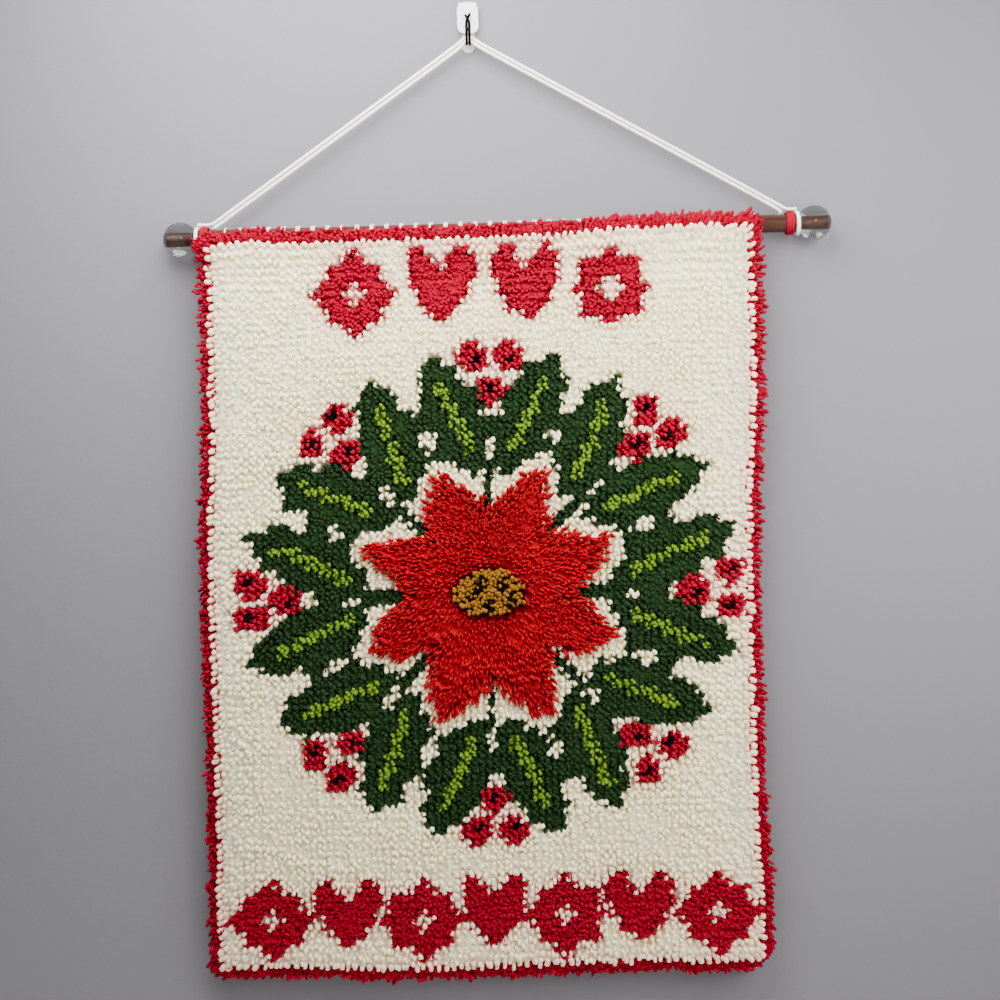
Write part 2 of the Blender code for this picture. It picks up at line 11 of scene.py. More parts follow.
import bmesh
import bpy
import numpy as np
from mathutils import Matrix, Vector, noise


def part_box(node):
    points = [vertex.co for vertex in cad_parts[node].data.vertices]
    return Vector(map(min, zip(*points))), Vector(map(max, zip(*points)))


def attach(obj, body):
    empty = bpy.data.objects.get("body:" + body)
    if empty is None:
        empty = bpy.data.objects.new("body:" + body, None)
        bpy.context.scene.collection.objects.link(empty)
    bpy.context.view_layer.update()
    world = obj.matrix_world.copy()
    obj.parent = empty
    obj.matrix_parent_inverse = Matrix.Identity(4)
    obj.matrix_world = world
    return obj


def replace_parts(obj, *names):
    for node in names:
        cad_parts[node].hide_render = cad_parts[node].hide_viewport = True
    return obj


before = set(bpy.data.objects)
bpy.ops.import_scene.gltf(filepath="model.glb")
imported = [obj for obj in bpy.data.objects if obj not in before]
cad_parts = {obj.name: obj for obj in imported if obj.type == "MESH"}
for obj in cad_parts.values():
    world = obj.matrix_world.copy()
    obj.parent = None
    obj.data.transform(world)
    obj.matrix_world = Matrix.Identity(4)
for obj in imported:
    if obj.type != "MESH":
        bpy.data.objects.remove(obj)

LOG = logging.getLogger("wall_hanging")
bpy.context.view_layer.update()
BODY = "root"
GAP = 0.0003

Colour = tuple[float, float, float]
Table = tuple[tuple[float, float], ...]


# -------- small helpers
def eased(table: Table, at: np.ndarray | float) -> np.ndarray:
    """The value of a table at each place, eased between its rows.

    Args:
        table: Rows of a place and the value there, in rising order of place.
        at: The places to read.

    Returns:
        The values, in the shape of the places.
    """
    places = np.array([row[0] for row in table])
    values = np.array([row[1] for row in table])
    at = np.clip(np.asarray(at, dtype=float), places[0], places[-1])
    i = np.clip(np.searchsorted(places, at, side="right") - 1, 0, len(places) - 2)
    share = (at - places[i]) / (places[i + 1] - places[i])
    return values[i] + (values[i + 1] - values[i]) * share * share * (3 - 2 * share)


def soft_noise(points: np.ndarray, scale: float, seed: float) -> np.ndarray:
    """Smooth noise between about -1 and 1 at each point.

    Args:
        points: Places, as rows of two or three numbers.
        scale: How many bumps there are to a metre.
        seed: Moves the pattern, so that two fields differ.

    Returns:
        One value for each point.
    """
    flat = np.asarray(points, dtype=float) * scale
    return np.array([noise.noise(Vector((p[0] + seed, p[1] - seed, p[2] if len(p) > 2 else 0.5)))
                     for p in flat])


def unit(vectors: np.ndarray) -> np.ndarray:
    """The vectors along the last axis, each at length one."""
    return vectors / np.maximum(np.linalg.norm(vectors, axis=-1, keepdims=True), 1e-12)


def curve_through(points: list[tuple[float, float, float]], step: float, least: int) -> np.ndarray:
    """Points on a Catmull-Rom curve through a route's own points.

    Args:
        points: The route.
        step: Distance between the new points where the route is straight.
        least: Fewest parts between two of the route's points.

    Returns:
        The new points, one to a row.
    """
    knots = [np.array(p, dtype=float) for p in points]
    ends = [knots[0] * 2 - knots[1]] + knots + [knots[-1] * 2 - knots[-2]]
    route = []
    for a, b, c, d in zip(ends, ends[1:], ends[2:], ends[3:]):
        parts = max(least, round(float(np.linalg.norm(c - b)) / step))
        for t in np.arange(parts) / parts:
            route.append(0.5 * (2 * b + (c - a) * t + (2 * a - 5 * b + 4 * c - d) * t * t
                                + (3 * b - a - 3 * c + d) * t ** 3))
    route.append(knots[-1])
    return np.array(route)


def tube_quads(levels: int, sides: int) -> list[list[int]]:
    """The faces round a tube whose rings of points follow each other.

    Args:
        levels: How many rings it has.
        sides: How many points a ring has.

    Returns:
        The faces, as lists of indices.
    """
    return [[k * sides + j, k * sides + (j + 1) % sides, (k + 1) * sides + (j + 1) % sides,
             (k + 1) * sides + j] for k in range(levels - 1) for j in range(sides)]


def repeated(faces: list[list[int]], starts: np.ndarray) -> list[list[int]]:
    """The faces of many copies of one form.

    Args:
        faces: The faces of the first copy.
        starts: Index of each copy's first point.

    Returns:
        The faces of all copies.
    """
    return [copy for face in faces for copy in (starts[:, None] + np.array(face)).tolist()]


def joined(parts: list[tuple[np.ndarray, list]]) -> tuple[np.ndarray, list]:
    """Joins forms into one.

    Args:
        parts: The points and faces of each form.

    Returns:
        All points and faces.
    """
    first, faces = 0, []
    for points, own in parts:
        faces += [[first + i for i in face] for face in own]
        first += len(points)
    return np.concatenate([points for points, _ in parts]), faces


def mesh_object(name: str, verts: np.ndarray, faces: list, finish: "Finish",
                shades: np.ndarray | None = None) -> bpy.types.Object:
    """Makes a smooth mesh object from points and faces, and rides it on the part's body.

    Args:
        name: The object's name.
        verts: Its points.
        faces: Its faces, as lists of indices.
        finish: What it is made of.
        shades: For each point: place along the strand (it sets the painted shade towards the root),
            the strand's own shade, and its tint.

    Returns:
        The object.
    """
    mesh = bpy.data.meshes.new(name)
    mesh.from_pydata(verts, [], faces)
    mesh.update()
    mesh.shade_smooth()
    if shades is not None:
        layer = mesh.attributes.new("tuft", "FLOAT_COLOR", "POINT")
        values = np.ones((len(verts), 4))
        values[:, :3] = shades
        layer.data.foreach_set("color", values.ravel())
    return dressed(bpy.data.objects.new(name, mesh), finish)


def dressed(obj: bpy.types.Object, finish: "Finish") -> bpy.types.Object:
    """Links an object, gives it its material, and rides it on the part's body.

    Args:
        obj: The object.
        finish: What it is made of.

    Returns:
        The same object.
    """
    bpy.context.scene.collection.objects.link(obj)
    obj.data.materials.append(finish.material())
    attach(obj, BODY)
    LOG.info("%s: %s", obj.name, finish.name)
    return obj


def from_bmesh(name: str, bm: bmesh.types.BMesh, finish: "Finish") -> bpy.types.Object:
    """Turns a bmesh into a smooth, dressed object.

    Args:
        name: The object's name.
        bm: The bmesh, which is freed.
        finish: What it is made of.

    Returns:
        The object.
    """
    bmesh.ops.recalc_face_normals(bm, faces=bm.faces)
    mesh = bpy.data.meshes.new(name)
    bm.to_mesh(mesh)
    bm.free()
    mesh.shade_smooth()
    return dressed(bpy.data.objects.new(name, mesh), finish)


def repaint(node: str, finish: "Finish") -> None:
    """Gives a carried-over solid its finish.

    Args:
        node: The solid's node.
        finish: What it is made of.
    """
    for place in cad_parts[node].material_slots:
        place.material = finish.material()
    LOG.info("%s: %s", node, finish.name)


# -------- shader groups
class NodeBench:
    """Adds and joins the nodes of one node tree."""

    def __init__(self, tree: bpy.types.NodeTree) -> None:
        """Starts on an emptied tree."""
        self.tree = tree
        tree.nodes.clear()

    def add(self, kind: str, **settings: object) -> bpy.types.Node:
        """Adds a node.

        Args:
            kind: The node's type, without the leading ShaderNode.
            settings: Properties by name, and sockets' values by name under "inputs".

        Returns:
            The node.
        """
        prefix = "" if kind.startswith("NodeGroup") else "ShaderNode"
        node = self.tree.nodes.new(prefix + kind)
        self.put(node, settings.pop("inputs", {}))
        for key, value in settings.items():
            setattr(node, key, value)
        return node

    def put(self, node: bpy.types.Node, values: dict[str, object]) -> None:
        """Sets a node's sockets by name."""
        for key, value in values.items():
            node.inputs[key].default_value = value

    def join(self, start: bpy.types.NodeSocket, end: bpy.types.NodeSocket) -> None:
        """Links an output to an input."""
        self.tree.links.new(start, end)

    def feed(self, end: bpy.types.NodeSocket, value: object) -> None:
        """Links an output to an input, or sets the input.

        Args:
            end: The input.
            value: The output, or a number or colour.
        """
        if isinstance(value, bpy.types.NodeSocket):
            self.join(value, end)
        else:
            end.default_value = value

    def math(self, operation: str, a: object, b: object = 0.0) -> bpy.types.NodeSocket:
        """Adds a Math node.

        Args:
            operation: What it works out.
            a: First socket or number.
            b: Second socket or number.

        Returns:
            The node's output.
        """
        node = self.add("Math", operation=operation)
        self.feed(node.inputs[0], a)
        self.feed(node.inputs[1], b)
        return node.outputs[0]

    def mix(self, factor: object, a: object, b: object) -> bpy.types.NodeSocket:
        """Adds a colour Mix node.

        Args:
            factor: Socket or number.
            a: First colour, as a socket or four numbers.
            b: Second colour, as a socket or four numbers.

        Returns:
            The mixed colour.
        """
        node = self.add("Mix", data_type="RGBA")
        self.feed(node.inputs["Factor"], factor)
        self.feed(node.inputs[6], a)
        self.feed(node.inputs[7], b)
        return node.outputs[2]

    def fit(self, value: bpy.types.NodeSocket, low: float, high: float,
            to_low: float = 0.0, to_high: float = 1.0) -> bpy.types.NodeSocket:
        """Maps a value from one range to another.

        Args:
            value: The value.
            low: Where its range starts.
            high: Where its range ends.
            to_low: Where the new range starts.
            to_high: Where the new range ends.

        Returns:
            The mapped value.
        """
        node = self.add("MapRange", inputs={"From Min": low, "From Max": high,
                                            "To Min": to_low, "To Max": to_high})
        self.join(value, node.inputs["Value"])
        return node.outputs["Result"]

    def noise(self, place: bpy.types.NodeSocket, scale: float, detail: float = 2.0,
              stretch: tuple[float, float, float] = (1, 1, 1)) -> bpy.types.NodeSocket:
        """Adds a noise texture.

        Args:
            place: Where it is read.
            scale: How fine it is.
            detail: How many finer layers it has.
            stretch: Its scale along each axis.

        Returns:
            The noise, from 0 to 1.
        """
        mapping = self.add("Mapping", inputs={"Scale": stretch})
        texture = self.add("TexNoise", inputs={"Scale": scale, "Detail": detail})
        self.join(place, mapping.inputs["Vector"])
        self.join(mapping.outputs["Vector"], texture.inputs["Vector"])
        return texture.outputs["Fac"]

    def swing(self, value: bpy.types.NodeSocket, weight: object) -> bpy.types.NodeSocket:
        """Turns a value from 0 to 1 into one that swings about 0.

        Args:
            value: The value.
            weight: The whole width of the swing, as a socket or number.

        Returns:
            The swinging value.
        """
        return self.math("MULTIPLY", self.math("SUBTRACT", value, 0.5), weight)

    def scaled(self, colour: bpy.types.NodeSocket,
               factor: bpy.types.NodeSocket) -> bpy.types.NodeSocket:
        """Makes a colour lighter or darker.

        Args:
            colour: The colour.
            factor: What it is multiplied by.

        Returns:
            The new colour.
        """
        node = self.add("VectorMath", operation="SCALE")
        self.join(colour, node.inputs[0])
        self.join(factor, node.inputs["Scale"])
        return node.outputs[0]

    def raise_by(self, shader: bpy.types.Node, height: bpy.types.NodeSocket, strength: float,
                 distance: float) -> None:
        """Joins a height to a shader through a Bump node.

        Args:
            shader: The shader.
            height: The height.
            strength: The bump's strength.
            distance: The bump's height in metres.
        """
        bump = self.add("Bump", inputs={"Strength": strength, "Distance": distance})
        self.join(height, bump.inputs["Height"])
        self.join(bump.outputs["Normal"], shader.inputs["Normal"])


def new_group(name: str, inputs: dict[str, tuple[str, object]],
              outputs: dict[str, str]) -> tuple[bpy.types.NodeTree, NodeBench, object, object]:
    """Starts a shader node group with named inputs and outputs.

    Args:
        name: The group's name.
        inputs: For each input, its socket type and first value.
        outputs: For each output, its socket type.

    Returns:
        The group, a bench on its tree, its input node and its output node.
    """
    group = bpy.data.node_groups.new(name, "ShaderNodeTree")
    for label, (kind, value) in inputs.items():
        socket = group.interface.new_socket(label, in_out="INPUT", socket_type=kind)
        socket.default_value = value
    for label, kind in outputs.items():
        group.interface.new_socket(label, in_out="OUTPUT", socket_type=kind)
    bench = NodeBench(group)
    return group, bench, bench.add("NodeGroupInput"), bench.add("NodeGroupOutput")


COLOUR, VALUE = "NodeSocketColor", "NodeSocketFloat"


def yarn_group() -> bpy.types.NodeTree:
    """Cut yarn: fibres, a shade for each strand, painted shade at the roots and the tint from its
    neighbours.

    Returns:
        The group. Its inputs are Colour, Deep, Tint, Vary and Fuzz, its outputs Colour and Height.
    """
    if "cut_yarn" in bpy.data.node_groups:
        return bpy.data.node_groups["cut_yarn"]
    group, bench, start, end = new_group(
        "cut_yarn",
        {"Colour": (COLOUR, (1, 1, 1, 1)), "RootShade": (COLOUR, (0, 0, 0, 1)),
         "Tint": (COLOUR, (1, 0, 0, 1)), "Vary": (VALUE, 0.3), "Fuzz": (VALUE, 0.5)},
        {"Colour": COLOUR, "Height": VALUE})
    tuft = bench.add("Attribute", attribute_name="tuft")
    parts = bench.add("SeparateColor")
    bench.join(tuft.outputs["Color"], parts.inputs["Color"])
    place = bench.add("TexCoord").outputs["Object"]
    fibres = bench.noise(place, 1500, 3)
    plies = bench.noise(place, 520, 2)
    patches = bench.noise(place, 26, 2)
    # Painted shade: the yarn darkens towards the roots, down in the pile where the strands shade each
    # other
    depth = bench.fit(parts.outputs["Red"], 0.15, 0.75)
    own = bench.swing(parts.outputs["Green"], start.outputs["Vary"])
    grain = bench.swing(fibres, start.outputs["Fuzz"])
    rough = bench.swing(plies, start.outputs["Fuzz"])
    area = bench.swing(patches, 0.10)
    light = bench.math("ADD", bench.math("ADD", own, grain), bench.math("ADD", rough, area))
    # The colour runs from the painted root shade at the roots to the yarn's own colour at the tips
    body = bench.mix(depth, start.outputs["RootShade"], start.outputs["Colour"])
    tinted = bench.mix(parts.outputs["Blue"], body, start.outputs["Tint"])
    bench.join(bench.scaled(tinted, bench.math("ADD", light, 1.0)), end.inputs["Colour"])
    bench.join(bench.math("ADD", bench.math("MULTIPLY", fibres, 0.4), plies), end.inputs["Height"])
    return group


def twist_group() -> bpy.types.NodeTree:
    """Twisted thread: fine fibres that cross the strand, and soiling in patches.

    Returns:
        The group. Its inputs are Colour, Soil and Fuzz, its outputs Colour and Height.
    """
    if "twisted_thread" in bpy.data.node_groups:
        return bpy.data.node_groups["twisted_thread"]
    group, bench, start, end = new_group(
        "twisted_thread",
        {"Colour": (COLOUR, (1, 1, 1, 1)), "Soil": (COLOUR, (0.4, 0.35, 0.3, 1)),
         "Fuzz": (VALUE, 0.3)},
        {"Colour": COLOUR, "Height": VALUE})
    place = bench.add("TexCoord").outputs["Object"]
    fibres = bench.noise(place, 1800, 3, (1.0, 0.6, 0.6))
    patches = bench.noise(place, 60, 3)
    soil = bench.fit(patches, 0.52, 0.78, 0.0, 0.35)
    dirty = bench.mix(soil, start.outputs["Colour"], start.outputs["Soil"])
    grain = bench.swing(fibres, start.outputs["Fuzz"])
    bench.join(bench.scaled(dirty, bench.math("ADD", grain, 1.0)), end.inputs["Colour"])
    bench.join(fibres, end.inputs["Height"])
    return group


def smear_group() -> bpy.types.NodeTree:
    """Handling marks on a clear or polished surface: fine scuffs and fingertips.

    Returns:
        The group. Its inputs are Low and High roughness, its outputs Roughness and Height.
    """
    if "handling_marks" in bpy.data.node_groups:
        return bpy.data.node_groups["handling_marks"]
    group, bench, start, end = new_group(
        "handling_marks", {"Low": (VALUE, 0.02), "High": (VALUE, 0.2)},
        {"Roughness": VALUE, "Height": VALUE})
    place = bench.add("TexCoord").outputs["Object"]
    prints = bench.noise(place, 130, 3)
    scuffs = bench.noise(place, 900, 2, (1.0, 0.2, 0.2))
    marks = bench.math("MULTIPLY", bench.fit(prints, 0.5, 0.75), bench.fit(scuffs, 0.4, 0.7))
    spread = bench.math("SUBTRACT", start.outputs["High"], start.outputs["Low"])
    rough = bench.math("ADD", bench.math("MULTIPLY", marks, spread), start.outputs["Low"])
    bench.join(rough, end.inputs["Roughness"])
    bench.join(scuffs, end.inputs["Height"])
    return group


# -------- finishes
@dataclass(frozen=True)
class Finish:
    """What a piece is made of.

    Attributes:
        name: The material's name.
        slot: The record's material slot, or "". Not used.
        colour: Linear colour.
    """

    name: str
    slot: str
    colour: Colour

    def material(self) -> bpy.types.Material:
        """The finish's material, made once."""
        found = bpy.data.materials.get(self.name)
        return found if found else self.make()

    def make(self) -> bpy.types.Material:
        """Builds the material.

        Returns:
            The material.
        """
        material = bpy.data.materials.new(self.name)
        material.use_nodes = True
        bench = NodeBench(material.node_tree)
        shader = bench.add("BsdfPrincipled")
        output = bench.add("OutputMaterial")
        bench.join(shader.outputs["BSDF"], output.inputs["Surface"])
        self.build(bench, shader)
        return material

    def build(self, bench: NodeBench, shader: bpy.types.Node) -> None:
        """Sets the shader's sockets and joins the finish's own nodes to it.

        Args:
            bench: The material's bench.
            shader: The shader.
        """
        shader.inputs["Base Color"].default_value = (*self.colour, 1)


@dataclass(frozen=True)
class YarnFinish(Finish):
    """Cut or wound acrylic yarn.

    Attributes:
        deep: Colour down at the roots: painted shade, where the strands shade each other.
        tint: Colour that a neighbouring dye lends it.
        vary: How far the strands' shades differ.
        fuzz: How strongly the fibres show.
        sheen: Weight of the sheen.
        soft: How far light spreads inside the yarn, in metres.
    """

    deep: Colour = (0.3, 0.25, 0.2)
    tint: Colour = (0.8, 0.3, 0.3)
    vary: float = 0.22
    fuzz: float = 0.5
    sheen: float = 0.0
    soft: float = 0.0

    def build(self, bench: NodeBench, shader: bpy.types.Node) -> None:
        """Joins the yarn group to the shader.

        Args:
            bench: The material's bench.
            shader: The shader.
        """
        yarn = bench.add("Group", node_tree=yarn_group())
        bench.put(yarn, {"Colour": (*self.colour, 1), "RootShade": (*self.deep, 1),
                         "Tint": (*self.tint, 1), "Vary": self.vary, "Fuzz": self.fuzz})
        bench.join(yarn.outputs["Colour"], shader.inputs["Base Color"])
        bench.put(shader, {"Roughness": 0.92, "Specular IOR Level": 0.05,
                           "Sheen Weight": self.sheen, "Sheen Roughness": 0.45})
        if self.soft:
            bench.put(shader, {"Subsurface Weight": 0.7, "Subsurface Radius": (1.0, 0.9, 0.8),
                               "Subsurface Scale": self.soft})
        bench.raise_by(shader, yarn.outputs["Height"], 0.55, 0.0007)


@dataclass(frozen=True)
class ThreadFinish(Finish):
    """Twisted cotton, as cord or canvas.

    Attributes:
        soil: Colour of the soiling.
        fuzz: How strongly the fibres show.
    """

    soil: Colour = (0.42, 0.37, 0.30)
    fuzz: float = 0.35

    def build(self, bench: NodeBench, shader: bpy.types.Node) -> None:
        """Joins the thread group to the shader.

        Args:
            bench: The material's bench.
            shader: The shader.
        """
        thread = bench.add("Group", node_tree=twist_group())
        bench.put(thread, {"Colour": (*self.colour, 1), "Soil": (*self.soil, 1), "Fuzz": self.fuzz})
        bench.join(thread.outputs["Colour"], shader.inputs["Base Color"])
        bench.put(shader, {"Roughness": 0.88, "Specular IOR Level": 0.3, "Sheen Weight": 0.15})
        bench.raise_by(shader, thread.outputs["Height"], 0.5, 0.0004)


@dataclass(frozen=True)
class WoodFinish(Finish):
    """Stained dowel with its grain along X.

    Attributes:
        dark: Colour of the pores and the dark rings.
    """

    dark: Colour = (0.035, 0.014, 0.009)

    def build(self, bench: NodeBench, shader: bpy.types.Node) -> None:
        """Joins the grain to the shader.

        Args:
            bench: The material's bench.
            shader: The shader.
        """
        place = bench.add("TexCoord").outputs["Object"]
        rings = bench.noise(place, 260, 3, (0.05, 1, 1))
        pores = bench.noise(place, 1500, 2, (0.03, 1, 1))
        blotch = bench.noise(place, 22, 2)
        streak = bench.math("ADD", bench.math("MULTIPLY", bench.fit(rings, 0.3, 0.7), 0.65),
                            bench.math("MULTIPLY", bench.fit(pores, 0.5, 0.7), 0.5))
        grained = bench.mix(streak, (*self.colour, 1), (*self.dark, 1))
        worn = bench.mix(bench.fit(blotch, 0.45, 0.8, 0.0, 0.3), grained,
                         (self.colour[0] * 1.7, self.colour[1] * 1.6, self.colour[2] * 1.5, 1))
        bench.join(worn, shader.inputs["Base Color"])
        bench.join(bench.fit(rings, 0.2, 0.8, 0.38, 0.58), shader.inputs["Roughness"])
        bench.put(shader, {"Specular IOR Level": 0.25, "Coat Weight": 0.05, "Coat Roughness": 0.3})
        bench.raise_by(shader, pores, 0.25, 0.0002)


@dataclass(frozen=True)
class ClearFinish(Finish):
    """Clear glass or plastic.

    Attributes:
        ior: Index of refraction.
        low: Roughness where it is clean.
        high: Roughness where it is handled.
        clear: Share of the light that passes through.
        rim: Colour where it is seen edge on: painted shade standing in for the dark surroundings that
            the glass reflects and bends there.
    """

    ior: float = 1.49
    low: float = 0.0
    high: float = 0.12
    clear: float = 1.0
    rim: Colour = (0.7, 0.7, 0.7)

    def build(self, bench: NodeBench, shader: bpy.types.Node) -> None:
        """Joins the handling marks to a shader that light passes through.

        Args:
            bench: The material's bench.
            shader: The shader.
        """
        marks = bench.add("Group", node_tree=smear_group())
        bench.put(marks, {"Low": self.low, "High": self.high})
        # Painted shade: the base colour darkens towards the edges seen edge on
        edge = bench.fit(bench.add("LayerWeight").outputs["Facing"], 0.48, 0.85)
        bench.join(bench.mix(edge, (*self.colour, 1), (*self.rim, 1)), shader.inputs["Base Color"])
        bench.put(shader, {"Transmission Weight": self.clear, "IOR": self.ior})
        bench.join(marks.outputs["Roughness"], shader.inputs["Roughness"])
        bench.raise_by(shader, marks.outputs["Height"], 0.03, 0.0001)


@dataclass(frozen=True)
class WireFinish(Finish):
    """Bright drawn wire."""

    def build(self, bench: NodeBench, shader: bpy.types.Node) -> None:
        """Joins the drawing lines to a metal shader.

        Args:
            bench: The material's bench.
            shader: The shader.
        """
        place = bench.add("TexCoord").outputs["Object"]
        lines = bench.noise(place, 2600, 2, (1, 1, 0.06))
        tarnish = bench.noise(place, 240, 2)
        dulled = bench.mix(bench.fit(tarnish, 0.4, 0.75, 0.0, 0.5), (*self.colour, 1),
                           (self.colour[0] * 0.55, self.colour[1] * 0.52, self.colour[2] * 0.5, 1))
        bench.join(dulled, shader.inputs["Base Color"])
        bench.put(shader, {"Metallic": 1.0})
        bench.join(bench.fit(lines, 0.3, 0.7, 0.2, 0.4), shader.inputs["Roughness"])
        bench.raise_by(shader, lines, 0.2, 0.0001)


# Each yarn's deep colour is painted shade towards the roots
CREAM = YarnFinish("cream_yarn", "cream", (0.94, 0.83, 0.51), deep=(0.88, 0.74, 0.44),
                   tint=(0.90, 0.48, 0.40), vary=0.07, fuzz=0.14, sheen=0.1, soft=0.004)
RED = YarnFinish("red_yarn", "red", (0.27, 0.0002, 0.016), deep=(0.22, 0.0002, 0.012), vary=0.22)
FLOWER_RED = YarnFinish("flower_yarn", "red", (0.335, 0.0002, 0.008), deep=(0.26, 0.0, 0.005),
                        vary=0.24)
GREEN = YarnFinish("green_yarn", "", (0.013, 0.031, 0.010), deep=(0.004, 0.009, 0.003), vary=0.6,
                   fuzz=0.8)
LIME = YarnFinish("lime_yarn", "", (0.11, 0.20, 0.012), deep=(0.03, 0.06, 0.004), vary=0.4)
GOLD = YarnFinish("gold_yarn", "gold", (0.20, 0.085, 0.010), deep=(0.13, 0.052, 0.006), vary=0.4)
BLACK = YarnFinish("black_yarn", "", (0.004, 0.003, 0.003), deep=(0.001, 0.001, 0.001), vary=0.4)
CANVAS = ThreadFinish("canvas_thread", "canvas", (0.66, 0.60, 0.48))
CREAM_THREAD = ThreadFinish("sewing_yarn", "canvas", (0.70, 0.65, 0.54))
CORD = ThreadFinish("white_cord", "white_cord", (0.66, 0.65, 0.64), soil=(0.45, 0.42, 0.39),
                    fuzz=0.3)
WOOD = WoodFinish("stained_dowel", "wood", (0.062, 0.024, 0.015), dark=(0.016, 0.006, 0.004))
# Their rim colours are painted shade at the edges seen edge on
GLASS = ClearFinish("clear_ball", "clear", (0.90, 0.91, 0.90), ior=1.49, high=0.03,
                    rim=(0.05, 0.055, 0.05))
PLASTIC = ClearFinish("clear_plastic", "clear", (0.92, 0.92, 0.94), ior=1.46, low=0.06, high=0.25,
                      clear=0.2, rim=(0.5, 0.5, 0.52))
TAPE = ClearFinish("adhesive_tape", "clear", (0.60, 0.60, 0.61), ior=1.46, low=0.2, high=0.4,
                   clear=0.1)
WIRE = WireFinish("dark_wire", "wire", (0.016, 0.015, 0.016))


# -------- the chart of knots
class Yarn(IntEnum):
    """The yarn of a knot."""

    CREAM = 0
    RED = 1
    GREEN = 2
    LIME = 3
    GOLD = 4
    FLOWER = 5
    BERRY = 6
    EYE = 7


@dataclass
class Chart:
    """Which yarn each hole of the canvas is knotted with.

    Lengths are in knots, across from the panel's middle and down from its top edge. A ring's
    places are a distance from the flower's middle and a turn to each side, in degrees.

    Attributes:
        columns, rows: Knots across and down.
        border: Width of the plain border.
        flower: Middle of the flower.
        petals: How many petals it has.
        petal_tip: Distance from its middle to a petal's tip.
        petal_notch: Distance from its middle to a notch between petals.
        centre_size: Half width and half height of its gold centre.
        flecks: How many dark flecks the centre has.
        fleck_ring: Half width and half height of their ring.
        fleck_size: Half width and half height of a fleck.
        leaf_pairs: How many pairs of leaves stand round it.
        leaf_from: Place of a leaf's root.
        leaf_to: Place of a leaf's tip.
        leaf_half_width: A leaf's half width at its widest.
        leaf_points: How many points, and part of one, a side of a leaf has.
        midrib: Where a leaf's midrib starts and ends, as shares of its length, and its half width.
        berry_places: Places of the berries between the leaves of a pair.
        berry_size: A berry's radius.
        top_band: Middle of the upper row of motifs.
        top_motifs: How many it has.
        top_pitch: Distance between them.
        bottom_band, bottom_motifs, bottom_pitch: The same for the lower row.
        star_size: Half width of a star's square and of its diamond, and of the diamond left open.
        heart_size: Half width and half height of a heart.
        red_reach: How far red yarn tints its neighbours.
        knots: The yarn of each knot, by row and column.
    """

    columns: int = 75
    rows: int = 101
    border: int = 2
    flower: tuple[float, float] = (1.2, 49.1)
    petals: int = 8
    petal_tip: float = 17.0
    petal_notch: float = 9.8
    centre_size: tuple[float, float] = (4.4, 3.0)
    flecks: int = 5
    fleck_ring: tuple[float, float] = (2.7, 1.6)
    fleck_size: tuple[float, float] = (0.55, 0.85)
    leaf_pairs: int = 8
    leaf_from: tuple[float, float] = (16.6, 5.5)
    leaf_to: tuple[float, float] = (33.4, 15.0)
    leaf_half_width: float = 5.2
    leaf_points: float = 3.5
    midrib: tuple[float, float, float] = (0.16, 0.80, 0.62)
    berry_places: Table = ((27.5, 0.0), (31.9, -4.4), (31.9, 4.4))
    berry_size: float = 1.95
    top_band: tuple[float, float] = (0.4, 8.4)
    top_motifs: int = 4
    top_pitch: float = 11.4
    bottom_band: tuple[float, float] = (0.5, 92.4)
    bottom_motifs: int = 7
    bottom_pitch: float = 9.8
    star_size: tuple[float, float, float] = (3.7, 5.4, 1.6)
    heart_size: tuple[float, float] = (3.9, 4.4)
    red_reach: float = 3.3
    knots: np.ndarray = field(init=False)

    def __post_init__(self) -> None:
        """Fills in the chart, one form over another."""
        across = np.arange(self.columns) + 0.5 - self.columns / 2
        down = np.arange(self.rows) + 0.5
        self.x, self.y = np.meshgrid(across, down)
        self.knots = np.full(self.x.shape, int(Yarn.CREAM))
        self.add_leaves()
        self.add_berries()
        self.add_flower()
        self.add_bands()
        self.add_border()

    def polar(self) -> tuple[np.ndarray, np.ndarray]:
        """Distance from the flower's middle, and turn clockwise from straight up."""
        dx, dy = self.x - self.flower[0], self.y - self.flower[1]
        return np.hypot(dx, dy), np.arctan2(dx, -dy)

    def spot(self, radius: float, turn: float) -> tuple[float, float]:
        """The place at a distance and turn from the flower's middle.

        Args:
            radius: The distance.
            turn: The turn clockwise from straight up, in degrees.

        Returns:
            The place, across and down.
        """
        angle = math.radians(turn)
        return (self.flower[0] + radius * math.sin(angle),
                self.flower[1] - radius * math.cos(angle))

    def lay(self, mask: np.ndarray, yarn: Yarn) -> None:
        """Knots a yarn where the mask is true."""
        self.knots[mask] = int(yarn)

    def add_leaves(self) -> None:
        """A regular ring of pointed leaves in pairs, each pair on a short stem."""
        for pair in range(self.leaf_pairs):
            middle = 360 / self.leaf_pairs * pair
            for side in (-1, 1):
                root = self.spot(self.leaf_from[0], middle + side * self.leaf_from[1])
                tip = self.spot(self.leaf_to[0], middle + side * self.leaf_to[1])
                self.add_leaf(root, tip)
            self.add_stem(self.spot(self.petal_notch, middle),
                          self.spot(self.leaf_from[0] + 1.5, middle))

    def along(self, start: tuple[float, float],
              end: tuple[float, float]) -> tuple[np.ndarray, np.ndarray, float]:
        """Where each knot lies along a line.

        Args:
            start: Where the line starts.
            end: Where it ends.

        Returns:
            Each knot's share of the way along it and signed distance from it, and its length.
        """
        axis = np.array(end) - np.array(start)
        length = float(np.linalg.norm(axis))
        axis = axis / length
        dx, dy = self.x - start[0], self.y - start[1]
        return (dx * axis[0] + dy * axis[1]) / length, dx * axis[1] - dy * axis[0], length

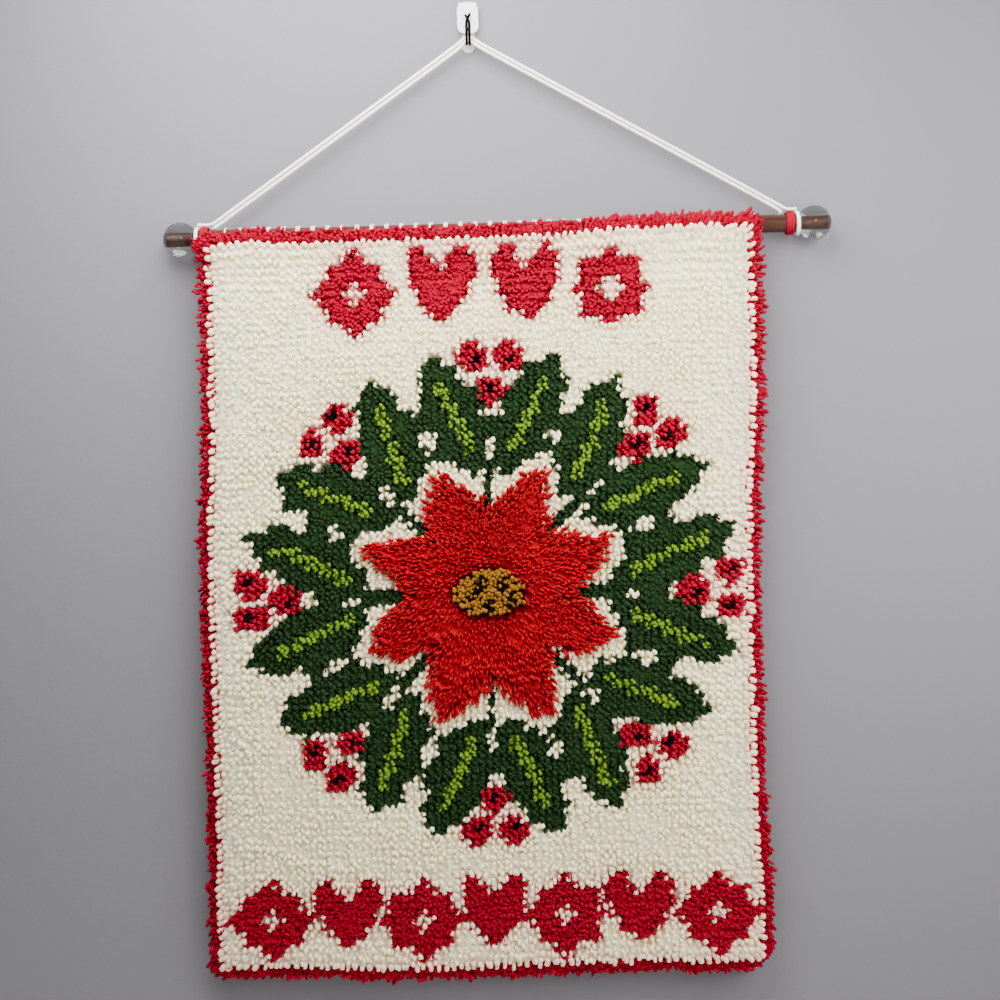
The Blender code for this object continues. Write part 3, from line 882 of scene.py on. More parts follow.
    def add_leaf(self, root: tuple[float, float], tip: tuple[float, float]) -> None:
        """Knots one leaf with three points to a side and a paler midrib.

        Args:
            root: Where it starts.
            tip: Where it ends.
        """
        share, off, _ = self.along(root, tip)
        inside = (share > 0) & (share < 1)
        held = np.clip(share, 0, 1)
        points = np.abs((held * self.leaf_points + 0.15) % 1 - 0.62) * 1.9
        oval = np.sin(np.pi * held ** 0.9) ** 0.75
        width = self.leaf_half_width * oval * (0.68 + 0.34 * points)
        self.lay(inside & (np.abs(off) < width), Yarn.GREEN)
        start, end, half = self.midrib
        self.lay((share > start) & (share < end) & (np.abs(off) < half), Yarn.LIME)

    def add_stem(self, start: tuple[float, float], end: tuple[float, float]) -> None:
        """A stem one knot wide."""
        share, off, _ = self.along(start, end)
        self.lay((share > 0) & (share < 1) & (np.abs(off) < 0.7), Yarn.GREEN)

    def add_berries(self) -> None:
        """Three berries with a dark eye each, between the leaves of every pair."""
        for pair in range(self.leaf_pairs):
            middle = 360 / self.leaf_pairs * pair
            for radius, turn in self.berry_places:
                x, y = self.spot(radius, middle + turn)
                away = np.hypot(self.x - x, self.y - y)
                self.lay(away < self.berry_size, Yarn.BERRY)
                self.lay(away <= away.min() + 1e-6, Yarn.EYE)

    def add_flower(self) -> None:
        """The flower's petals, then its gold middle with dark flecks."""
        away, turn = self.polar()
        step = (turn / (2 * math.pi) * self.petals) % 1
        reach = self.petal_notch + (self.petal_tip - self.petal_notch) * (1 - np.abs(step * 2 - 1))
        self.lay(away < reach, Yarn.FLOWER)
        dx, dy = self.x - self.flower[0], self.y - self.flower[1]
        middle = (dx / self.centre_size[0]) ** 2 + (dy / self.centre_size[1]) ** 2 < 1
        self.lay(middle, Yarn.GOLD)
        for fleck in range(self.flecks):
            angle = (fleck + 0.3) / self.flecks * 2 * math.pi
            beside = np.abs(dx - self.fleck_ring[0] * math.cos(angle))
            above = np.abs(dy - self.fleck_ring[1] * math.sin(angle))
            near = (beside < self.fleck_size[0]) & (above < self.fleck_size[1])
            self.lay(middle & near, Yarn.EYE)

    def add_bands(self) -> None:
        """A row of stars and hearts above the ring of leaves, and a longer one below it."""
        for (x, y), count, pitch in ((self.top_band, self.top_motifs, self.top_pitch),
                                     (self.bottom_band, self.bottom_motifs, self.bottom_pitch)):
            for i in range(count):
                from_end = min(i, count - 1 - i)
                middle = x + (i - (count - 1) / 2) * pitch
                form = self.star if from_end % 2 == 0 else self.heart
                self.lay(form(middle, y), Yarn.RED)

    def star(self, x: float, y: float) -> np.ndarray:
        """An eight-pointed star with an open middle.

        Args:
            x: Across to its middle.
            y: Down to its middle.

        Returns:
            Which knots it has.
        """
        dx, dy = np.abs(self.x - x), np.abs(self.y - y)
        square, diamond, opening = self.star_size
        form = (np.maximum(dx, dy) < square) | (dx + dy < diamond)
        return form & (dx + dy > opening)

    def heart(self, x: float, y: float) -> np.ndarray:
        """A heart with a clear notch at its top.

        Args:
            x: Across to its middle.
            y: Down to its middle.

        Returns:
            Which knots it has.
        """
        dx, up = (self.x - x) / self.heart_size[0], -(self.y - y + 0.4) / self.heart_size[1]
        notch = np.abs(dx) < (up - 0.45) * 0.9
        return ((dx ** 2 + up ** 2 - 1) ** 3 - dx ** 2 * up ** 3 < 0) & ~notch

    def add_border(self) -> None:
        """The plain border."""
        self.lay(self.is_border(), Yarn.RED)

    def is_border(self) -> np.ndarray:
        """Which knots the plain border has.

        Returns:
            True for each of them.
        """
        edge = np.minimum(np.minimum(self.x - self.x.min(), self.x.max() - self.x),
                          np.minimum(self.y - self.y.min(), self.y.max() - self.y))
        return edge < self.border - 0.5

    def red_nearby(self) -> np.ndarray:
        """How much red stands round each knot.

        Returns:
            A share from 0 to 1 for each.
        """
        red = np.isin(self.knots, (int(Yarn.RED), int(Yarn.BERRY), int(Yarn.FLOWER))).astype(float)
        total = np.zeros_like(red)
        weight = 0.0
        most = int(self.red_reach)
        for dy in range(-most, most + 1):
            for dx in range(-most, most + 1):
                away = math.hypot(dx, dy)
                if 0 < away < self.red_reach:
                    share = math.exp(-away * away / 3.0)
                    total += share * np.roll(np.roll(red, dy, 0), dx, 1)
                    weight += share
        return total / weight


# -------- how the cloth hangs
@dataclass
class Hang:
    """The shape in which the canvas hangs from the rod, with the same sizes as the solids have.

    Attributes:
        pitch: Distance between the canvas's holes.
        columns, rows: Holes across and down.
        top_z: Z of the canvas's top edge.
        canvas_thick: Thickness of the canvas.
        inset: How far the canvas ends inside the pile's edge.
        seam_z: Z at which the canvas's two layers meet below the rod.
        seam_layer_gap: Half the gap between them.
        hem_below_seam: How far the hem's end lies below that.
        bottom_front_y: Y of the canvas's front face at the bottom edge.
        wave: Height and length of the wave across the bottom edge.
        sleeve_slack: How loosely the canvas goes round the rod.
        pile: Depth of the ground's pile.
        lump_height: Unevenness of the pile.
        lump_scale: How many lumps there are to a metre.
        bottom_rise_from: V from which the bottom edge's curve is felt.
        middle_line: X of the middle line, by V.
        hung_width: Width as hung, as a share of the flat width, by V.
        bottom_rise: How far the bottom edge is drawn up, by X.
        corners: Radii of the corners, left and right, at the top and at the bottom.
    """

    pitch: float = 0.00677
    columns: int = 75
    rows: int = 101
    top_z: float = -0.1890
    canvas_thick: float = 0.0015
    inset: float = 0.002
    seam_z: float = -0.2279
    seam_layer_gap: float = 0.00015
    hem_below_seam: float = 0.004
    bottom_front_y: float = -0.0095
    wave: tuple[float, float] = (0.0016, 0.31)
    sleeve_slack: float = 0.0002
    pile: float = 0.0195
    lump_height: float = 0.0016
    lump_scale: float = 21
    bottom_rise_from: float = 0.50
    middle_line: Table = ((0.0, 0.0050), (0.13, 0.0050), (0.30, -0.0020), (0.50, -0.0020),
                          (0.684, -0.0004))
    hung_width: Table = ((0.0, 0.997), (0.13, 0.997), (0.25, 0.992), (0.50, 0.991), (0.62, 1.003),
                         (0.684, 1.003))
    bottom_rise: Table = ((-0.26, 0.0062), (-0.20, 0.0055), (-0.15, 0.0042), (-0.10, 0.0),
                          (0.07, 0.0), (0.15, 0.0022), (0.19, -0.0004), (0.26, 0.0015))
    corners: tuple[tuple[float, float], tuple[float, float]] = ((0.016, 0.011), (0.019, 0.033))

    def __post_init__(self) -> None:
        """Reads the rod's place and works out the sleeve round it."""
        low, high = (np.array(corner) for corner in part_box("rod"))
        middle = (low + high) / 2
        self.rod_y, self.rod_z = float(middle[1]), float(middle[2])
        self.rod_radius = float(high[2] - low[2]) / 2
        self.half_width = self.columns * self.pitch / 2
        self.height = self.rows * self.pitch
        self.sleeve = self.rod_radius + GAP + self.canvas_thick + self.sleeve_slack
        self.seam_lean = math.asin(self.sleeve / (self.rod_z - self.seam_z))

    def rounded(self, u: np.ndarray, v: np.ndarray) -> tuple[np.ndarray, np.ndarray]:
        """Pulls the square corners of the cloth's coordinates in to the panel's round ones.

        Args:
            u: Distance across from the middle line.
            v: Distance down from the top edge.

        Returns:
            The new coordinates.
        """
        right, low = (u >= 0).astype(int), (v >= self.height / 2).astype(int)
        radius = np.array(self.corners)[low, right]
        across = (np.abs(u) - (self.half_width - radius)) / radius
        along = (np.abs(v - self.height / 2) - (self.height / 2 - radius)) / radius
        corner = (across > 0) & (along > 0)
        new_across = across * np.sqrt(np.maximum(0, 1 - along ** 2 / 2))
        new_along = along * np.sqrt(np.maximum(0, 1 - across ** 2 / 2))
        u_new = np.copysign(self.half_width - radius + new_across * radius, u)
        v_new = self.height / 2 + np.copysign(self.height / 2 - radius + new_along * radius,
                                              v - self.height / 2)
        return np.where(corner, u_new, u), np.where(corner, v_new, v)

    def front_y(self, x: np.ndarray, z: np.ndarray) -> np.ndarray:
        """Y of the front face of the canvas.

        Args:
            x: X of each place on the panel.
            z: Z of each place.

        Returns:
            Its Y there.
        """
        seam_y = self.rod_y - self.seam_layer_gap - self.canvas_thick
        leave_y = self.rod_y - self.sleeve * math.cos(self.seam_lean)
        leave_z = self.rod_z - self.sleeve * math.sin(self.seam_lean)
        falling = leave_y + (seam_y - leave_y) * (leave_z - z) / (leave_z - self.seam_z)
        share = (self.seam_z - z) / (self.seam_z - (self.top_z - self.height))
        ripple = self.wave[0] * share ** 3 * np.sin(2 * np.pi * x / self.wave[1] + 0.6)
        hanging = seam_y + (self.bottom_front_y - seam_y) * share + ripple
        return np.where(z >= leave_z, self.rod_y - self.sleeve,
                        np.where(z >= self.seam_z, falling, hanging))

    def place(self, u: np.ndarray, v: np.ndarray, depth: np.ndarray | float = 0.0) -> np.ndarray:
        """The place of each point of the cloth.

        Args:
            u: Distance across from the middle line.
            v: Distance down from the top edge.
            depth: Distance forward from the canvas's front face.

        Returns:
            The points, one to a row.
        """
        u, v = self.rounded(np.asarray(u, dtype=float), np.asarray(v, dtype=float))
        x = eased(self.middle_line, v) + u * eased(self.hung_width, v)
        spread = np.maximum(0, (v - self.bottom_rise_from) / (self.height - self.bottom_rise_from))
        z = self.top_z - v + eased(self.bottom_rise, x) * spread ** 2
        return np.stack([x, self.front_y(x, z) - depth, z], axis=-1)

    def lump(self, u: np.ndarray, v: np.ndarray) -> np.ndarray:
        """Uneven height of the pile.

        Args:
            u: Distance across from the middle line.
            v: Distance down from the top edge.

        Returns:
            What it adds to the depth at each place.
        """
        points = np.stack([u * self.lump_scale, v * self.lump_scale, np.full_like(u, 3.7)], axis=-1)
        return self.lump_height * np.array(
            [noise.noise(Vector(p)) + 0.5 * noise.noise(Vector(p) * 2.3) for p in points])


# -------- yarn tufts
Rings = tuple[tuple[float, float], ...]

# Rings of a strand: place along it, and girth as a share of its radius
BROAD_RINGS: Rings = ((0.0, 0.60), (0.60, 0.95), (0.90, 0.92))
FULL_RINGS: Rings = ((0.0, 0.50), (0.52, 0.92), (0.80, 1.0), (0.95, 0.74))
POINTED_RINGS: Rings = ((0.0, 0.60), (0.58, 1.0), (0.86, 0.72))


@dataclass(frozen=True)
class Cut:
    """How the yarn of one kind of knot is cut, and how it stands.

    Attributes:
        plies: Plies that show at each of a knot's two ends.
        sides: Sides of a ply.
        radius: A ply's radius at its widest.
        flat: Its least width, as a share of its greatest.
        turned: How far its width turns away from upright, in radians.
        fray: How far the plies of an end stand apart.
        stagger: How much higher one end lies than the other, in knots.
        rings: Rings along a ply.
        extra: How much further it stands out than the ground's pile.
        filled: How much of that is filled by tangled fibres.
        ragged: Spread of each ply's tip.
        wander: Spread of each end.
        tousle: How far the tips lean together in patches.
        fan: How far the tips turn outwards from the flower's middle.
        fall: How far the tips hang down.
        bend: Where a ply bends over, as a share of its depth.
        knee: Where a ply bends over, as a share of its lean.
        tint: How strongly neighbouring red tints it.
    """

    plies: int = 2
    sides: int = 5
    radius: float = 0.0021
    flat: float = 0.78
    turned: float = 3.0
    fray: float = 0.0012
    stagger: float = 0.45
    rings: Rings = BROAD_RINGS
    extra: float = 0.0
    filled: float = 0.75
    ragged: float = 0.0004
    wander: float = 0.0008
    tousle: float = 0.0022
    fan: float = 0.0
    fall: float = 0.0056
    bend: float = 0.90
    knee: float = 0.22
    tint: float = 0.0


GROUND = Cut(plies=1, radius=0.0031, flat=0.68, turned=0.5, fray=0.0, rings=FULL_RINGS,
             ragged=0.0006, wander=0.0010, tint=1.3)
BORDER = Cut(plies=4, sides=4, radius=0.0020, fray=0.0025, stagger=0.3, extra=-0.0016,
             ragged=0.0009, wander=0.0012, tousle=0.0026, fall=0.0040, bend=0.76)
MOTIF = Cut(plies=3, sides=4, radius=0.0022, fray=0.0019, extra=0.0004, ragged=0.0008,
            wander=0.0010, fall=0.0050)
LEAF = Cut(sides=4, radius=0.0023, fray=0.0016, ragged=0.0007)
MIDRIB = Cut(radius=0.0022, fray=0.0015, extra=0.0005)
BERRY = Cut(radius=0.0023, fray=0.0015, extra=0.0008, fall=0.0040)
PETAL = Cut(plies=4, sides=4, radius=0.0019, fray=0.0022, stagger=0.3, rings=POINTED_RINGS,
            extra=0.0085, filled=0.45, ragged=0.0014, wander=0.0019, tousle=0.0070, fan=0.0110,
            fall=0.0035, bend=0.66, knee=0.28)
MIDDLE = Cut(plies=3, radius=0.0024, fray=0.0019, extra=0.0105, filled=0.95, ragged=0.0005,
             wander=0.0005, tousle=0.0008, fall=0.0012)


@dataclass
class Pile:
    """The knotted yarn: the cut strands of each knot, and its loop behind the canvas.

    Attributes:
        chart: Which yarn each knot has.
        hang: How the cloth hangs.
        splay: Outward lean of the tips by distance from a side edge, in knots.
        drop: Downward lean of the tips by distance from the bottom edge, in knots.
        top_rim: Height of the pile's top rim over the canvas's top edge, by X.
        top_lift: What raises the tips to the rim, by row.
        felted: How high the fibres fill the pile, by distance from the edge, in knots.
        felted_edge: What that is multiplied by where one yarn meets another.
        patch_scale: How many patches that lean together there are to a metre.
        free_lean: How far a tip leans before it comes lower.
        droop: How much lower it comes for each further metre of lean.
        rim_droop: Least and greatest depth that a strand at the very edge loses.
        most_tint: Strongest tint that a neighbour's dye leaves.
        crease_row: Row at which the pile parts, where the hem behind ends.
        crease_width: Rows over which it parts, by X.
    """

    chart: Chart
    hang: Hang
    splay: Table = ((0.5, 0.0028), (1.5, 0.0066), (2.5, 0.0096), (3.5, 0.0096), (5.0, 0.0076),
                    (7.5, 0.0042), (12.0, 0.0))
    drop: Table = ((0.5, 0.0032), (1.5, 0.0064), (2.5, 0.0084), (3.5, 0.0082), (5.0, 0.0066),
                   (9.0, 0.0))
    top_rim: Table = ((-0.25, -0.0030), (-0.228, -0.0042), (-0.20, 0.0006), (-0.17, -0.0034),
                      (-0.06, -0.0032), (0.02, -0.0020), (0.085, -0.0012), (0.11, 0.0020),
                      (0.15, 0.0036), (0.20, 0.0054), (0.232, 0.0030), (0.26, -0.0010))
    top_lift: Table = ((0.0, 0.0030), (1.0, 0.0058), (2.0, 0.0062), (3.0, 0.0055), (4.0, 0.0040),
                       (5.5, 0.0030))
    felted: Table = ((0.0, 0.30), (1.0, 0.62), (2.0, 0.80), (3.0, 0.86))
    felted_edge: float = 0.72
    patch_scale: float = 28
    free_lean: float = 0.006
    droop: float = 0.30
    rim_droop: tuple[float, float] = (0.0005, 0.0080)
    most_tint: float = 0.8
    crease_row: float = 5.7
    crease_width: Table = ((-0.25, 4.0), (0.05, 4.0), (0.25, 2.0))

    def __post_init__(self) -> None:
        """Seeds the pile's own random numbers."""
        self.random = np.random.default_rng(7)

    def lean(self, column: np.ndarray, row: np.ndarray, x: np.ndarray, fall: float) -> np.ndarray:
        """How far the strands' tips lie from their roots, across and up, by place alone.

        Args:
            column: Column of each knot.
            row: Row of each knot.
            x: X of each knot.
            fall: How far the tips hang down away from the edges.

        Returns:
            Two numbers to a knot.
        """
        left, right = column + 0.5, self.chart.columns - column - 0.5
        across = eased(self.splay, right) - eased(self.splay, left)
        width = eased(self.crease_width, x)
        above = np.clip((self.crease_row - row) / width, 0, 1)
        below = np.clip((row - self.crease_row) / width, 0, 1)
        rise = (eased(self.top_rim, x) + eased(self.top_lift, row)) * above
        down = np.maximum(fall * below, eased(self.drop, self.chart.rows - row - 0.5))
        return np.stack([across, rise - down], axis=-1)

    def fanned(self, root: np.ndarray, fan: float) -> np.ndarray:
        """The lean that turns the flower's strands outwards from its middle.

        Args:
            root: Where each strand leaves the canvas.
            fan: The lean's greatest length.

        Returns:
            The lean across and up.
        """
        pitch = self.hang.pitch
        middle = self.hang.place(self.chart.flower[0] * pitch, self.chart.flower[1] * pitch)
        out = root[:, [0, 2]] - middle[[0, 2]]
        away = np.linalg.norm(out, axis=1, keepdims=True)
        return out / np.maximum(away, 1e-4) * fan * np.clip(away / 0.05, 0.2, 1)

    def tips(self, row: np.ndarray, column: np.ndarray, turn: np.ndarray, root: np.ndarray,
             cut: Cut) -> tuple[np.ndarray, np.ndarray]:
        """Where each strand ends, and how far out it stands.

        Args:
            row: Row of each strand's knot.
            column: Column of each strand's knot.
            turn: Which strand of its knot each one is.
            root: Where it leaves the canvas.
            cut: How its yarn is cut.

        Returns:
            The tips, and their depths.
        """
        draw, chart, count = self.random, self.chart, len(row)
        ends = count // cut.plies
        near_side = np.minimum(column, chart.columns - 1 - column)
        near_end = np.minimum(row, chart.rows - 1 - row)
        # Near an edge the strands lean outwards more than they lean together
        calm = np.clip(np.stack([near_side, near_end], axis=-1) / 4, 0.55, 1)
        patch = np.stack([soft_noise(root[:, [0, 2]], self.patch_scale, seed) for seed in (3.0, 9.0)],
                         axis=-1)
        wander = np.repeat(draw.normal(0, cut.wander, (ends, 2)), cut.plies, axis=0)
        angle = (0.25 + (turn % cut.plies) / cut.plies) * 2 * np.pi + np.repeat(
            draw.normal(0, 0.5, ends), cut.plies)
        spread = np.stack([np.cos(angle), np.sin(angle)], axis=-1) * cut.fray
        # A knot's two ends lie side by side, one a little higher
        end_side = turn // cut.plies - 0.5
        spread[:, 0] += end_side * 0.5 * self.hang.pitch
        spread[:, 1] += end_side * cut.stagger * self.hang.pitch
        spread += draw.normal(0, cut.ragged, (count, 2))
        lateral = (self.lean(column, row, root[:, 0], cut.fall) + patch * cut.tousle * calm
                   + wander + spread)
        if cut.fan:
            lateral += self.fanned(root, cut.fan)
        tip = root.copy()
        tip[:, 0] += lateral[:, 0]
        tip[:, 2] += lateral[:, 1]
        depth = self.hang.pile + cut.extra + self.lumps(row, column)
        depth += draw.normal(-0.0004, 0.0005, count)
        depth -= self.droop * np.maximum(0, np.hypot(*lateral.T) - self.free_lean)
        rim = np.clip(1 - np.minimum(near_side, near_end) / 1.5, 0, 1)
        depth -= rim * draw.uniform(*self.rim_droop, count)
        tip[:, 1] = self.hang.front_y(tip[:, 0], tip[:, 2]) - depth
        return tip, depth

    def lumps(self, row: np.ndarray, column: np.ndarray) -> np.ndarray:
        """The pile's uneven height at each strand's knot."""
        pitch = self.hang.pitch
        return self.hang.lump((column + 0.5 - self.chart.columns / 2) * pitch, (row + 0.5) * pitch)

    def build(self, name: str, mask: np.ndarray, finish: Finish, cut: Cut) -> bpy.types.Object:
        """Knots one piece of the pile.

        Args:
            name: The piece's name.
            mask: Which knots it has.
            finish: Its yarn.
            cut: How the yarn is cut.

        Returns:
            The piece.
        """
        rows, columns = np.nonzero(mask)
        strands = 2 * cut.plies
        row = np.repeat(rows, strands).astype(float)
        column = np.repeat(columns, strands).astype(float)
        turn = np.tile(np.arange(strands), len(rows))
        share = (turn + 0.5) / strands - 0.5
        pitch = self.hang.pitch
        root = self.hang.place((column + 0.5 - self.chart.columns / 2 + share * 0.8) * pitch,
                               (row + 0.5) * pitch)
        tip, depth = self.tips(row, column, turn, root, cut)
        knee = root + (tip - root) * cut.knee
        knee[:, 1] = root[:, 1] - depth * (cut.bend + self.random.uniform(-0.08, 0.08, len(row)))
        girth = cut.radius * self.random.uniform(0.88, 1.14, len(row))
        own = (np.repeat(self.random.uniform(0, 1, len(row) // cut.plies), cut.plies) * 0.6
               + self.random.uniform(0, 0.4, len(row)))
        near = self.chart.red_nearby()[row.astype(int), column.astype(int)]
        blush = np.clip(near * cut.tint, 0, self.most_tint)
        verts, faces, shades = self.strands(np.stack([root, knee, tip]), girth, own, blush, cut)
        loops = self.loops(rows.astype(float), columns.astype(float), len(verts),
                           own[::strands], blush[::strands])
        fluff = self.fluff(mask, len(verts) + len(loops[0]), cut)
        return mesh_object(name, np.concatenate([verts, loops[0], fluff[0]]),
                           faces + loops[1] + fluff[1], finish,
                           np.concatenate([shades, loops[2], fluff[2]]))

    def corners(self, mask: np.ndarray) -> np.ndarray:
        """How many of the four knots round each corner of the chart's squares a mask has.

        Args:
            mask: Which knots it has.

        Returns:
            The numbers, with one more row and column than the chart.
        """
        held = np.pad(mask, 1).astype(int)
        return held[:-1, :-1] + held[1:, :-1] + held[:-1, 1:] + held[1:, 1:]

    def fluff(self, mask: np.ndarray, first: int, cut: Cut) -> tuple[np.ndarray, list, np.ndarray]:
        """The tangled fibres that fill the pile between its strands, as a lumpy layer.

        Args:
            mask: Which knots the piece has.
            first: Index of the first point.
            cut: How the yarn is cut.

        Returns:
            Points, faces and shades.
        """
        chart, pitch = self.chart, self.hang.pitch
        around = self.corners(mask)
        same = self.corners(np.isin(chart.knots, np.unique(chart.knots[mask])))
        rows, columns = np.nonzero(around)
        index = np.full(around.shape, -1)
        index[rows, columns] = first + np.arange(len(rows))
        u, v = (columns - chart.columns / 2) * pitch, rows * pitch
        from_edge = np.minimum(np.minimum(columns, chart.columns - columns),
                               np.minimum(rows, chart.rows - rows))
        share = eased(self.felted, from_edge)
        whole = same[rows, columns] == 4
        share *= np.where(whole, 1.0, self.felted_edge)
        depth = self.hang.pile * share + whole * cut.extra * cut.filled
        depth += self.random.uniform(-0.0006, 0.0006, len(rows))
        flat = self.hang.place(u, v)
        lean = self.lean(columns - 0.5, rows - 0.5, flat[:, 0], cut.fall) * share[:, None]
        points = flat.copy()
        points[:, 0] += lean[:, 0]
        points[:, 2] += lean[:, 1]
        points[:, 1] = self.hang.front_y(points[:, 0], points[:, 2]) - depth
        at_row, at_column = np.nonzero(mask)
        faces = np.stack([index[at_row, at_column], index[at_row + 1, at_column],
                          index[at_row + 1, at_column + 1], index[at_row, at_column + 1]], axis=-1)
        near = chart.red_nearby()[np.minimum(rows, chart.rows - 1),
                                  np.minimum(columns, chart.columns - 1)]
        # Place 0.66 gives the fibres between the strands part of the painted root shade
        shades = np.stack([np.full(len(rows), 0.66), self.random.uniform(0.2, 0.6, len(rows)),
                           np.clip(near * cut.tint, 0, self.most_tint)], axis=-1)
        return points, faces.tolist(), shades

    def strands(self, controls: np.ndarray, girth: np.ndarray, own: np.ndarray, blush: np.ndarray,
                cut: Cut) -> tuple[np.ndarray, list, np.ndarray]:
        """Bent, tapered strands with a round cut end.

        Args:
            controls: Root, knee and tip of every strand.
            girth: Its radius at its widest.
            own: Its own shade.
            blush: Its tint.
            cut: How its yarn is cut.

        Returns:
            Points, faces and shades.
        """
        root, knee, tip = controls
        rings, sides = cut.rings, cut.sides
        count, levels = len(root), len(rings)
        t = np.array([place for place, _ in rings] + [1.0])[None, :, None]
        line = (1 - t) ** 2 * root[:, None] + 2 * t * (1 - t) * knee[:, None] + t * t * tip[:, None]
        tangent = unit((1 - t) * (knee - root)[:, None] + t * (tip - knee)[:, None])
        spin = self.random.uniform(-cut.turned, cut.turned, count)
        upright = np.stack([np.sin(spin), np.zeros(count), np.cos(spin)], axis=-1)[:, None]
        side = unit(np.cross(tangent, np.broadcast_to(upright, tangent.shape)))
        tall = np.cross(side, tangent)
        angle = (np.arange(sides) / sides * 2 * np.pi)[None, None, :, None]
        flat = (cut.flat * self.random.uniform(0.9, 1.12, count))[:, None, None, None]
        width = girth[:, None, None, None] * np.array([share for _, share in rings])[:, None, None]
        ring = (line[:, :levels, None] + width * (np.cos(angle) * tall[:, :levels, None]
                                                  + flat * np.sin(angle) * side[:, :levels, None]))
        verts = np.concatenate([ring.reshape(count, levels * sides, 3), line[:, -1:]], axis=1)
        each = levels * sides + 1
        last = (levels - 1) * sides
        ends = [[last + j, last + (j + 1) % sides, levels * sides] for j in range(sides)]
        faces = repeated(tube_quads(levels, sides) + ends, np.arange(count) * each)
        place = np.concatenate([np.repeat([place for place, _ in rings], sides), [1.0]])
        shades = np.empty((count, each, 3))
        # The place along the strand sets its painted shade towards the root
        shades[:, :, 0] = place[None]
        shades[:, :, 1] = own[:, None]
        shades[:, :, 2] = blush[:, None]
        return verts.reshape(-1, 3), faces, shades.reshape(-1, 3)

    def loops(self, row: np.ndarray, column: np.ndarray, first: int, own: np.ndarray,
              blush: np.ndarray) -> tuple[np.ndarray, list, np.ndarray]:
        """The two legs of each knot that pass behind the canvas's crosswise thread.

        Args:
            row: Row of each knot.
            column: Column of each knot.
            first: Index of the first point.
            own: Each knot's own shade.
            blush: Each knot's tint.

        Returns:
            Points, faces and shades.
        """
        pitch = self.hang.pitch
        across = np.array([-0.0026, -0.0010, 0.0010, 0.0026])
        crown = np.array([0.0, 0.0012, 0.0012, 0.0])
        down, bulge = np.array([-0.0027, 0.0, 0.0027]), np.array([0.2, 1.0, 0.2])
        u = (column + 0.5 - self.chart.columns / 2) * pitch
        v = (row + 0.5) * pitch
        u_all = u[:, None, None] + across[None, None, :] + np.zeros((1, 3, 1))
        v_all = v[:, None, None] + down[None, :, None] + np.zeros((1, 1, 4))
        depth = -(self.hang.canvas_thick - 0.0004 + (bulge[:, None] * (crown + 0.0008))[None])
        depth = np.broadcast_to(depth, u_all.shape)
        verts = self.hang.place(u_all.ravel(), v_all.ravel(), depth.ravel())
        quads = [[k * 4 + j, (k + 1) * 4 + j, (k + 1) * 4 + j + 1, k * 4 + j + 1]
                 for k in range(2) for j in range(3)]
        faces = repeated(quads, first + np.arange(len(u)) * 12)
        shades = np.empty((len(u), 12, 3))
        # Place 0.62 gives the legs behind the canvas part of the painted root shade
        shades[:, :, 0] = 0.62
        shades[:, :, 1] = own[:, None]
        shades[:, :, 2] = blush[:, None]
        return verts, faces, shades.reshape(-1, 3)

    def make(self) -> list[bpy.types.Object]:
        """Knots every piece of the pile.

        Returns:
            The pieces.
        """
        chart = self.chart
        knots, border = chart.knots, chart.is_border()
        row, column = np.indices(knots.shape)
        cream = knots == Yarn.CREAM
        pieces = []
        # The ground is three pieces, as a single one would be too heavy
        for name, low, high in (("tufts_cream_upper", 0, 26), ("tufts_cream_middle", 26, 72),
                                ("tufts_cream_lower", 72, 101)):
            piece = self.build(name, cream & (row >= low) & (row < high), CREAM, GROUND)
            pieces.append(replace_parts(piece, "pile_ground"))
        upright = (row >= chart.border) & (row < chart.rows - chart.border)
        sides = {"top": row < chart.border, "bottom": row >= chart.rows - chart.border,
                 "left": upright & (column < chart.border),
                 "right": upright & (column >= chart.columns - chart.border)}
        for side, where in sides.items():
            piece = self.build("tufts_border_" + side, border & where, RED, BORDER)
            pieces.append(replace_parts(piece, "pile_border_" + side))
        inner = chart.polar()[0] < chart.petal_notch
        pieces += [self.build("tufts_motifs", (knots == Yarn.RED) & ~border, RED, MOTIF),
                   self.build("tufts_leaves", knots == Yarn.GREEN, GREEN, LEAF),
                   self.build("tufts_midribs", knots == Yarn.LIME, LIME, MIDRIB),
                   self.build("tufts_berries", knots == Yarn.BERRY, RED, BERRY),
                   self.build("tufts_flecks", (knots == Yarn.EYE) & ~inner, BLACK, BERRY),
                   self.build("flower_flecks", (knots == Yarn.EYE) & inner, BLACK, MIDDLE)]
        petals = self.build("flower_petals", knots == Yarn.FLOWER, FLOWER_RED, PETAL)
        middle = self.build("flower_middle", knots == Yarn.GOLD, GOLD, MIDDLE)
        pieces += [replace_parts(petals, "pile_flower"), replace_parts(middle, "pile_flower_centre")]
        return pieces


